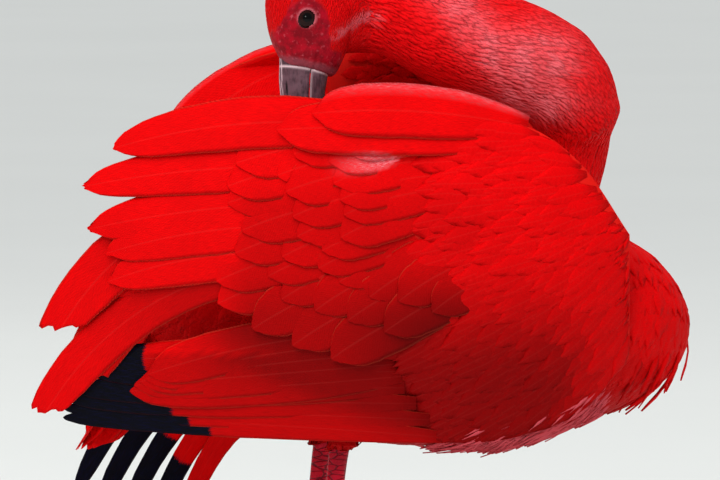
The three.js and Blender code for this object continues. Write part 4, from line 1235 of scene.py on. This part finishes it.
def arm(name, wing, table):
    """The padded arm of a wing as a closed loft, drawn in by the depth of its small feathers."""
    share = 0.5 - 0.5 * np.cos(np.linspace(0.02, 0.98, 46) * math.pi)
    x = table[0][0] + (table[-1][0] - table[0][0]) * share
    top, bottom, thick = table_value(table, x).T[:, :, None]
    taper = np.maximum(0.1, 1 - (2 * np.linspace(0, 1, len(x)) - 1) ** 4)[:, None]
    t = np.linspace(0, 1, 40)[None, :]
    z = top - 2 + (bottom + 1 - top) * t
    plump = np.maximum(0.1, 1 - (2 * t - 1) ** 4) * taper
    across = np.broadcast_to(x[:, None], z.shape)
    sunk = 1.0 + 1.6 * ease(52, 20, across) + 3.5 * ease(38, 14, across) * ease(178, 160, z)
    outer = on_sheet(wing, across, z, 0.4 * plump - sunk)
    fill = SHOULDER_FILL * np.maximum(0, (z - SHEET_MIDDLE) / SHEET_REACH) ** 1.5
    inner = on_sheet(wing, across, z, -(thick - 2.5 + fill) * plump - sunk - 0.3)
    return loft(name, np.concatenate([outer, inner[:, ::-1]], axis=1))


def fringe_zone(places):
    """The downy fringe along the lower edge of the near flank, seen a little from above."""
    x, y, z = places.T
    above_line = z + 0.07 * (y + 60) - 134.7 - 0.33 * (x - 49.5)
    return ease(46, 54, x) * ease(114, 106, x) * ease(17, 11, above_line) * (y < 0)


store(skin, "cover_fringe", fringe_zone(bird_points(skin)[0]))
arms = {}
for name, wing, table, seed in (("near", near_wing, NEAR_ARM, 110), ("far", far_wing, FAR_ARM, 111)):
    ground = unwrapped(arm(f"wing_{name}_arm", wing, table))
    places, normals = bird_points(ground)
    x, y, z = places.T
    outwards = normals[:, 1] * wing["side"]
    slope = -0.1 - 0.45 * ease(262, 180, z) - 0.3 * ease(70, 120, x)
    way = np.stack([-np.ones(len(x)), np.zeros(len(x)), slope], -1)
    # Painted shade: the lower part of each arm is darker, and so is the near arm's middle below its top and
    # the top of the far arm's inner face.
    low = ease(238, 178, z) * ease(128, 92, x)
    if name == "near":
        deep = np.maximum(low, 0.28 * ease(264, 240, z) * ease(95, 45, x))
        start = (x - 26) * 0.9 + (212 - z) * 0.2 + 24 * ease(172, 152, z)
    else:
        deep = np.maximum(0.3 * low, 0.35 * ease(270, 288, z) * (outwards < -0.2))
        start = x - 60
    marks = {
        "lie": unit(way - normals * np.sum(way * normals, axis=1)[:, None]), "deep": deep,
        "size": np.ones(len(x)), "ruffle": np.zeros(len(x)), "pale": np.zeros(len(x)),
        "cover_front": ease(96, 108, x), "cover_fringe": fringe_zone(places) * (name == "near"),
        "cover_inner": ease(-4, 4, x) * (outwards <= 0.2),
        "cover_outer": ease(0, 14, start) * (outwards > 0.2),
    }
    for key, values in marks.items():
        store(ground, key, values)
    coat(f"coat_wing_{name}", ground, "cover_outer", flat_templates, scarlet_coat, 3.0, 24, seed,
         Lift=0.038, Lift_change=0.008, Stray=0.08)
    coat(f"coat_wing_{name}_inside", ground, "cover_inner", body_templates, scarlet_coat, 4.6, 17, seed + 2,
         Lift=0.07, Lift_change=0.02)
    coat(f"coat_wing_{name}_edge", ground, "cover_front", neck_templates, scarlet_coat, 1.8, 10, seed + 12,
         Lift=0.06, Lift_change=0.02)
    arms[name] = ground
    if name == "near":
        coat("coat_fringe_low", skin, "cover_fringe", wisp_templates, downy_finish, 1.6, 13, 121,
             Lift=0.16, Stray=0.2, Width=0.9, Cling=0.3)
        coat("coat_fringe", ground, "cover_fringe", wisp_templates, downy_finish, 1.5, 13, 120,
             Lift=0.10, Stray=0.2, Width=0.9, Cling=0.6)
hand_over(arms["near"], scarlet_coat, "scarlet_feather", "wing_near")
hand_over(arms["far"], scarlet_coat, "scarlet_feather", "wing_far")
for piece in (wing_near, coverts_near):
    hand_over(piece, scarlet_vane, "scarlet_feather", "wing_near")
for piece in (wing_far, coverts_far):
    hand_over(piece, scarlet_vane, "scarlet_feather", "wing_far")

# %% [markdown]
# ## The tail
# Twelve feathers point steeply down from the rump, the middle pair on top. They lie between the
# folded wings, and only their edges show from the side.

# %% Tail feathers
TAIL_FEATHERS = 12
TAIL_LENGTH = 86
TAIL_ROLL = 1.1
TAIL_WIDTH = 24
TAIL_STACK = 0.14
TAIL_ROOT = np.array([-88.0, 0.0, 206.0])
TAIL_DOWN = unit([-0.52, 0, -0.854])
TAIL_FACE = np.cross([0, 1, 0], TAIL_DOWN)
if TAIL_FACE[0] > 0:
    TAIL_FACE = -TAIL_FACE
tail = Blades(12)
for index in range(TAIL_FEATHERS):
    spread = index / (TAIL_FEATHERS - 1) * 2 - 1
    pair = int(abs(index - (TAIL_FEATHERS - 1) / 2))
    layer = -(2 * pair + (spread > 0)) * TAIL_STACK
    t = 1 - (1 - np.linspace(0, 1, 18))[:, None] ** 1.5
    edge = np.linspace(-1, 1, 11)[None, :]
    share = table_value(LONG_SHARES, t[:, 0])
    down = t * (TAIL_LENGTH - 6 * spread**2) - np.abs(edge) ** 1.5 * 4 * ease(0.3, 1, t)
    out = spread * 6 * (1 - t * 0.2) + math.sin(spread * 0.11) * down + edge * TAIL_WIDTH / 2 * share
    face = layer * np.minimum(1, t * 2.9) - 0.5 * edge**2 * share + 0.25 * hill(edge, 0, 0.1) * (1 - t)
    middle, reach = out - edge * TAIL_WIDTH / 2 * share, edge * TAIL_WIDTH / 2 * share
    roll = math.copysign(TAIL_ROLL, spread) * float(ease(0.45, 0.95, abs(spread)))
    aside = reach[..., None] * (math.cos(roll) * np.array([0, 1, 0]) - math.sin(roll) * TAIL_FACE)
    sink = -0.3 * abs(roll) * np.abs(middle)[..., None] * TAIL_FACE
    grid = TAIL_ROOT + down[..., None] * TAIL_DOWN + middle[..., None] * np.array([0, 1, 0]) + aside + sink
    uv = np.stack(np.broadcast_arrays(edge * 0.5 + 0.5, t), -1)
    top = grid + face[..., None] * TAIL_FACE
    tail.blade(top, top - BLADE_THICKNESS * TAIL_FACE, uv, tint=tail.rng.uniform(0, 1))
hand_over(tail.finish("tail_feathers"), scarlet_vane, "scarlet_feather", "tail")

# %% [markdown]
# ## The bill
# The bill is a long decurved probe. The upper half has a ridge along its top and a groove on each
# side that starts at the slit of the nostril; the lower half is slimmer. In the photo it is grey
# brown with a lilac bloom, with pale pink lines along the ridge and where the halves meet.

# %% Bill halves
BILL_FORWARD = unit([-0.1, -0.19, -1])
BILL_SIDE = unit(np.array([0, -1, 0]) + BILL_FORWARD * BILL_FORWARD[1])
BILL_DOWN = np.cross(BILL_FORWARD, BILL_SIDE)
if BILL_DOWN[0] < 0:
    BILL_DOWN = -BILL_DOWN
MOUTH_DROP = 2.6
BASE_REACH = 22
BEND_RADIUS = 180
UPPER_JAW = [[-6, 14.6, 7.8], [0, 14, 7.6], [15, 12, 6.4], [30, 9.4, 5.4], [60, 7, 4.6], [100, 4.6, 3.5],
             [132, 3, 2.4], [140, 2, 1.6], [142, 1, 0.8]]
LOWER_JAW = [[-6, 8.4, 7.4], [0, 8, 7.2], [15, 6.6, 6], [30, 5.4, 5], [60, 4.2, 4.2], [100, 3, 3.2],
             [130, 2, 2.2], [137, 1, 1]]


def mouth_line(s):
    """The middle of the mouth, s millimetres from the root of the bill, and the way down there."""
    turn = s / BEND_RADIUS
    place = BILL_ROOT + BILL_DOWN * MOUTH_DROP + np.sin(turn)[..., None] * BILL_FORWARD * BEND_RADIUS
    place = place + (1 - np.cos(turn))[..., None] * BILL_DOWN * BEND_RADIUS
    return place, np.cos(turn)[..., None] * BILL_DOWN - np.sin(turn)[..., None] * BILL_FORWARD


def jaw(name, table, direction):
    """One half of the bill, and marks for its pale lines and for the nostrils."""
    s = BASE_REACH + (table[-1][0] - BASE_REACH) * np.sin(np.linspace(0, 1, 76) * math.pi / 2)
    s = np.concatenate([np.linspace(table[0][0], BASE_REACH, 60)[:-1], s])
    depth, half = table_value(table, s).T[:, :, None]
    a = np.linspace(0, math.pi, 49)[None, :]
    rise = 0.2 + depth * np.sin(a) ** 0.85
    side = half * np.cos(a)
    s_grid = np.broadcast_to(s[:, None], rise.shape)
    from_top = np.abs(np.cos(a)) * np.ones_like(rise)
    groove = hill(from_top, 0.62, 0.09) * ease(4, 12, s_grid) * ease(120, 60, s_grid)
    slit = hill(from_top, 0.66, 0.05) * hill(s_grid, 11, 4.2)
    ridge = hill(from_top, 0, 0.16) * ease(0, 8, s_grid)
    if direction > 0:
        side = side * (1 - 0.16 * groove - 0.22 * slit)
        rise = rise + 0.5 * ridge * ease(142, 100, s_grid)
    place, down = mouth_line(s)
    rings = place[:, None] - direction * down[:, None] * rise[..., None] + BILL_SIDE * side[..., None]
    wander = 0.02 * np.sin(s_grid / 2.1) + 0.015 * np.sin(s_grid / 0.83)
    line = hill(rise, 0.5, 0.32)
    if direction > 0:
        line = hill(from_top - wander, 0.36, 0.03) + hill(from_top + wander, 0.12, 0.03)
    crown_side = direction * rise - MOUTH_DROP
    border = 1.5 - CHIN_REACH * 1.09 * crown_side * np.where(crown_side > 0, CROWN_SLANT, 1)
    marks = {
        "line": np.clip(line, 0, 1) * ease(90, 20, s_grid), "slit": slit * (direction > 0),
        "base": hill(s_grid - border + 22 * wander, 0.9, 0.45),
    }
    return loft(name, rings, marks)


upper = jaw("bill_upper_half", UPPER_JAW, 1)
lower = jaw("bill_lower_half", LOWER_JAW, -1)
horn, tree, shader, grain = new_finish("bill_horn", Roughness=0.4, Specular_IOR_Level=0.22)
mark = {key: add(tree, None, attribute_name=key, **MARK) for key in ("line", "base", "slit")}
fine, cloudy = (add(tree, {**grain, "Scale": scale}, **NOISE) for scale in (900.0, 160.0))
long_way = add(tree, {"Vector": grain["Vector"], "Scale": (1.0, 1.0, 0.12)}, "ShaderNodeMapping", 0)
veins = add(tree, {**grain, "Vector": long_way, "Scale": 1400.0, "Roughness": 0.6}, **NOISE)
horn_colour = colour("5c3a43")
for amount, code in (
    (add(tree, {0: veins, 1: 0.35, 2: 0.7}, **SOFT_STEP), "2c1a23"),
    (add(tree, {0: cloudy, 1: 0.4, 2: 0.65}, **SOFT_STEP), "6b4a54"),
    (add(tree, {0: mark["line"], 1: 0.95}, **TIMES), "f0ccd2"),
    (add(tree, {0: mark["base"], 1: 0.95}, **TIMES), "f0ccd2"),
    # Painted shade: the nostril slit is painted near black, for the shade in its opening.
    (add(tree, {0: mark["slit"], 1: 0.3, 2: 0.8}, **SOFT_STEP), "120a0b"),
):
    horn_colour = add(tree, {0: amount, 6: horn_colour, 7: colour(code)}, **MIX)
tree.links.new(horn_colour, shader.inputs["Base Color"])
grained = add(tree, {"Height": fine, "Strength": 0.15, "Distance": 0.0001}, **BUMP)
veined = add(tree, {"Height": veins, "Strength": 0.3, "Distance": 0.0003, "Normal": grained}, **BUMP)
tree.links.new(veined, shader.inputs["Normal"])
hand_over(upper, horn, "bill_horn", "bill_upper")
hand_over(lower, horn, "bill_horn", "bill_lower")

# %% [markdown]
# ## The eyes
# The eye is nearly black, with a dark brown iris that shows only close up, and it is wet: a clear
# bright reflection is what makes it look alive.

# %% Eyes
wet_eye, tree, shader, grain = new_finish("wet_dark_eye", Roughness=0.06, Specular_IOR_Level=0.14)
ring = add(tree, None, attribute_name="iris", **MARK)
fibres = add(tree, {**grain, "Scale": 2600.0, "Detail": 2.0}, **NOISE)
fibre_share = add(tree, {0: fibres, 1: 0.35, 2: 0.65}, **SOFT_STEP)
iris_colour = add(tree, {0: fibre_share, 6: colour("140504"), 7: colour("2a0d09")}, **MIX)
eye_colour = add(tree, {0: ring, 6: colour("040203"), 7: iris_colour}, **MIX)
tree.links.new(eye_colour, shader.inputs["Base Color"])
for name, way in (("near", 1), ("far", -1)):
    turn = np.linspace(0.02, math.pi - 0.02, 40)[:, None]
    around = np.linspace(0, math.tau, 48, endpoint=False)[None, :]
    bulge = EYE_RADIUS * (1 + 0.06 * np.exp(-((turn / 0.55) ** 2)))
    rings = in_head(
        EYE_BACK + bulge * np.sin(turn) * np.cos(around),
        EYE_CROWN + bulge * np.sin(turn) * np.sin(around),
        way * (EYE_DEPTH + bulge * np.cos(turn) + 0 * around),
    )
    iris = ease(0.36, 0.42, turn) * ease(0.92, 0.8, turn) + 0 * around
    eye = loft(f"eye_{name}_ball", rings, {"iris": iris})
    hand_over(eye, wet_eye, "eye", f"eye_{name}")

# %% [markdown]
# ## Legs and feet
# Legs and toes are bare and scaled. Smooth tubes are merged into one surface for each leg, with
# thicker joints. Broad scutes ring the front of the leg, and small round scales lie between them.

# %% Legs
LEGS = {
    "near": {
        "side": -1, "hip": (2, -20, 176), "knee": (-13.4, -17, 136), "hock": (-19, -18, 92),
        "foot": (-4, -23, 7.5),
    },
    "far": {
        "side": 1, "hip": (-7, 20, 176), "knee": (-20.8, 17, 136), "hock": (-26.5, 18, 92),
        "foot": (-15, 23, 7.5),
    },
}
TOES = {"inner": (-25, 43), "middle": (5, 54), "outer": (37, 46), "hind": (176, 24)}
CLAW_LENGTH = 8


def tube(name, points, radii, steps=24, sides=24):
    """A round closed tube through a few points, with a radius at each."""
    points = np.array(points, float)
    run = np.concatenate([[0], np.cumsum(np.linalg.norm(np.diff(points, axis=0), axis=1))])
    table = np.column_stack([run, points, radii])
    at = np.linspace(0, run[-1], steps)
    values = table_value(table, at)
    middle, radius = values[:, :3], values[:, 3]
    way = unit(np.gradient(middle, axis=0))
    aside = unit(np.cross(way, [0.13, 1.0, 0.07]))
    above_axis = np.cross(way, aside)
    turn = np.linspace(0, math.tau, sides, endpoint=False)[None, :, None]
    outwards = np.cos(turn) * aside[:, None] + np.sin(turn) * above_axis[:, None]
    return loft(name, middle[:, None] + radius[:, None, None] * outwards)


def merged_tubes(name, tubes, voxel, smoothing):
    """One smooth surface over overlapping tubes."""
    shape = bmesh.new()
    for part in tubes:
        shape.from_mesh(part.data)
        bpy.data.objects.remove(part)
    return remeshed(name, shape, voxel, smoothing, smooth_shade=True)


scaled_skin, tree, shader, grain = new_finish("scaled_leg_skin", Roughness=0.45, Specular_IOR_Level=0.15)
squashed = add(tree, {"Vector": grain["Vector"], "Scale": (0.55, 0.55, 1.6)}, "ShaderNodeMapping", 0)
scutes = add(tree, {"Vector": squashed, "Scale": 260.0}, feature="DISTANCE_TO_EDGE", **CELLS)
scales = add(tree, {"Vector": grain["Vector"], "Scale": 620.0}, feature="DISTANCE_TO_EDGE", **CELLS)
mottle = add(tree, {**grain, "Scale": 120.0}, **NOISE)
mottle, seam, small_seam = (
    add(tree, {0: value, 1: low, 2: high}, **SOFT_STEP)
    for value, low, high in ((mottle, 0.35, 0.65), (scutes, 0.0, 0.12), (scales, 0.0, 0.2))
)
leg_colour = add(tree, {0: mottle, 6: colour("cc0026"), 7: colour("aa001e")}, **MIX)
leg_colour = add(tree, {0: seam, 6: colour("6a0818"), 7: leg_colour}, **MIX)
tree.links.new(leg_colour, shader.inputs["Base Color"])
scaled = add(tree, {"Height": small_seam, "Strength": 0.25, "Distance": 0.0002}, **BUMP)
plated = add(tree, {"Height": seam, "Strength": 0.5, "Distance": 0.0005, "Normal": scaled}, **BUMP)
tree.links.new(plated, shader.inputs["Normal"])
claw_horn, tree, shader, grain = new_finish("claw_horn", Roughness=0.32)
cloudy = add(tree, {**grain, "Scale": 500.0}, **NOISE)
claw_colour = add(tree, {0: cloudy, 6: colour("241619"), 7: colour("0f090b")}, **MIX)
tree.links.new(claw_colour, shader.inputs["Base Color"])

# %% Join the tubes of each leg
# Each joint of a toe is a share of its length, a radius and a height above the floor.
TOE_JOINTS = [(0, 3.8, 5.2), (0.3, 3.4, 3.4), (0.42, 2.9, 2.9), (0.52, 3.2, 3.2), (0.66, 2.6, 2.6),
              (0.76, 2.9, 2.9), (0.88, 2.3, 2.35), (1.0, 2.2, 2.3)]
CLAW_LINE = [(-1.2, 2.6), (2.5, 3.1), (5.5, 2.6), (CLAW_LENGTH - 0.5, 0.8)]
LEG_VOXEL = 0.00085
LEG_SMOOTHING = 3
for name, leg in LEGS.items():
    hip, knee, hock, foot = (np.array(leg[key], float) for key in ("hip", "knee", "hock", "foot"))
    shin = [knee + (hip - knee) * 0.2, knee, knee + (hock - knee) * 0.5, hock + (knee - hock) * 0.15,
            hock, hock + (foot - hock) * 0.04]
    tarsus = [hock + (foot - hock) * share for share in (0, 0.15, 0.55, 0.93)] + [foot - [0, 0, 0.8]]
    parts = [tube("shin", shin, [4.4, 4.5, 4.1, 4.4, 5.3, 5.0]),
             tube("tarsus", tarsus, [5.3, 4.1, 3.4, 3.9, 4.4], steps=40)]
    for toe, (degrees, length) in TOES.items():
        heading = math.radians(degrees * leg["side"])
        ahead = np.array([math.cos(heading), math.sin(heading), 0])

        def at(reach, height):
            return np.array([foot[0], foot[1], height]) + ahead * reach

        points = [at(length * share, height) for share, radius, height in TOE_JOINTS]
        parts.append(tube(toe, points, [radius for share, radius, height in TOE_JOINTS], steps=40))
        points = [at(length + reach, height) for reach, height in CLAW_LINE]
        claw = tube(f"claw_{name}_{toe}_tip", points, [1.9, 1.7, 1.1, 0.35], 16, 14)
        hand_over(claw, claw_horn, "claw_horn", f"claw_{name}_{toe}")
    limb = merged_tubes(f"leg_{name}", parts, LEG_VOXEL, LEG_SMOOTHING)
    hand_over(limb, scaled_skin, "leg_skin", f"shin_{name}", f"tarsus_{name}", f"foot_{name}")

# %% [markdown]
# ## The bare face
# The face is bare crimson skin with a fine pebbled grain and pale specks. A thin pale ring runs round
# the eye. Under the coat the same skin is dark red, so that gaps between feathers look deep.

# %% Skin finish
bare_skin, tree, shader, grain = new_finish(
    "bare_crimson_skin", Roughness=0.55, Specular_IOR_Level=0.12,
)
mark = {key: add(tree, None, attribute_name=key, **MARK) for key in ("lid", "cere", "pale", "bare")}
pebbles = add(tree, {"Vector": grain["Vector"], "Scale": 900.0}, feature="SMOOTH_F1", **CELLS)
fine, middling, coarse = (add(tree, {**grain, "Scale": scale}, **NOISE) for scale in (520.0, 300.0, 220.0))
face_colour = colour("a8001a")
for amount, code in (
    (add(tree, {0: coarse, 1: 0.35, 2: 0.65}, **SOFT_STEP), "7e0012"),
    (add(tree, {0: fine, 1: 0.56, 2: 0.74, 4: 0.4}, **SOFT_STEP), "e0606e"),
    (add(tree, {0: mark["lid"], 1: 0.7}, **TIMES), "d8707c"),
    (add(tree, {0: mark["cere"], 1: 0.55}, **TIMES), "8a4a56"),
):
    face_colour = add(tree, {0: amount, 6: face_colour, 7: colour(code)}, **MIX)
under_coat = add(tree, {0: mark["pale"], 6: colour("c40206"), 7: colour("d2606c")}, **MIX)
skin_colour = add(tree, {0: mark["bare"], 6: under_coat, 7: face_colour}, **MIX)
tree.links.new(skin_colour, shader.inputs["Base Color"])
wrinkled = add(tree, {"Height": middling, "Strength": 0.3, "Distance": 0.0008}, **BUMP)
pebbled = add(tree, {"Height": pebbles, "Strength": 0.5, "Distance": 0.0004, "Normal": wrinkled}, **BUMP)
tree.links.new(pebbled, shader.inputs["Normal"])
hand_over(skin, bare_skin, "scarlet_feather", "torso", "neck_stem", "neck_fold", "neck_nape", "head",
          "thigh_near", "thigh_far")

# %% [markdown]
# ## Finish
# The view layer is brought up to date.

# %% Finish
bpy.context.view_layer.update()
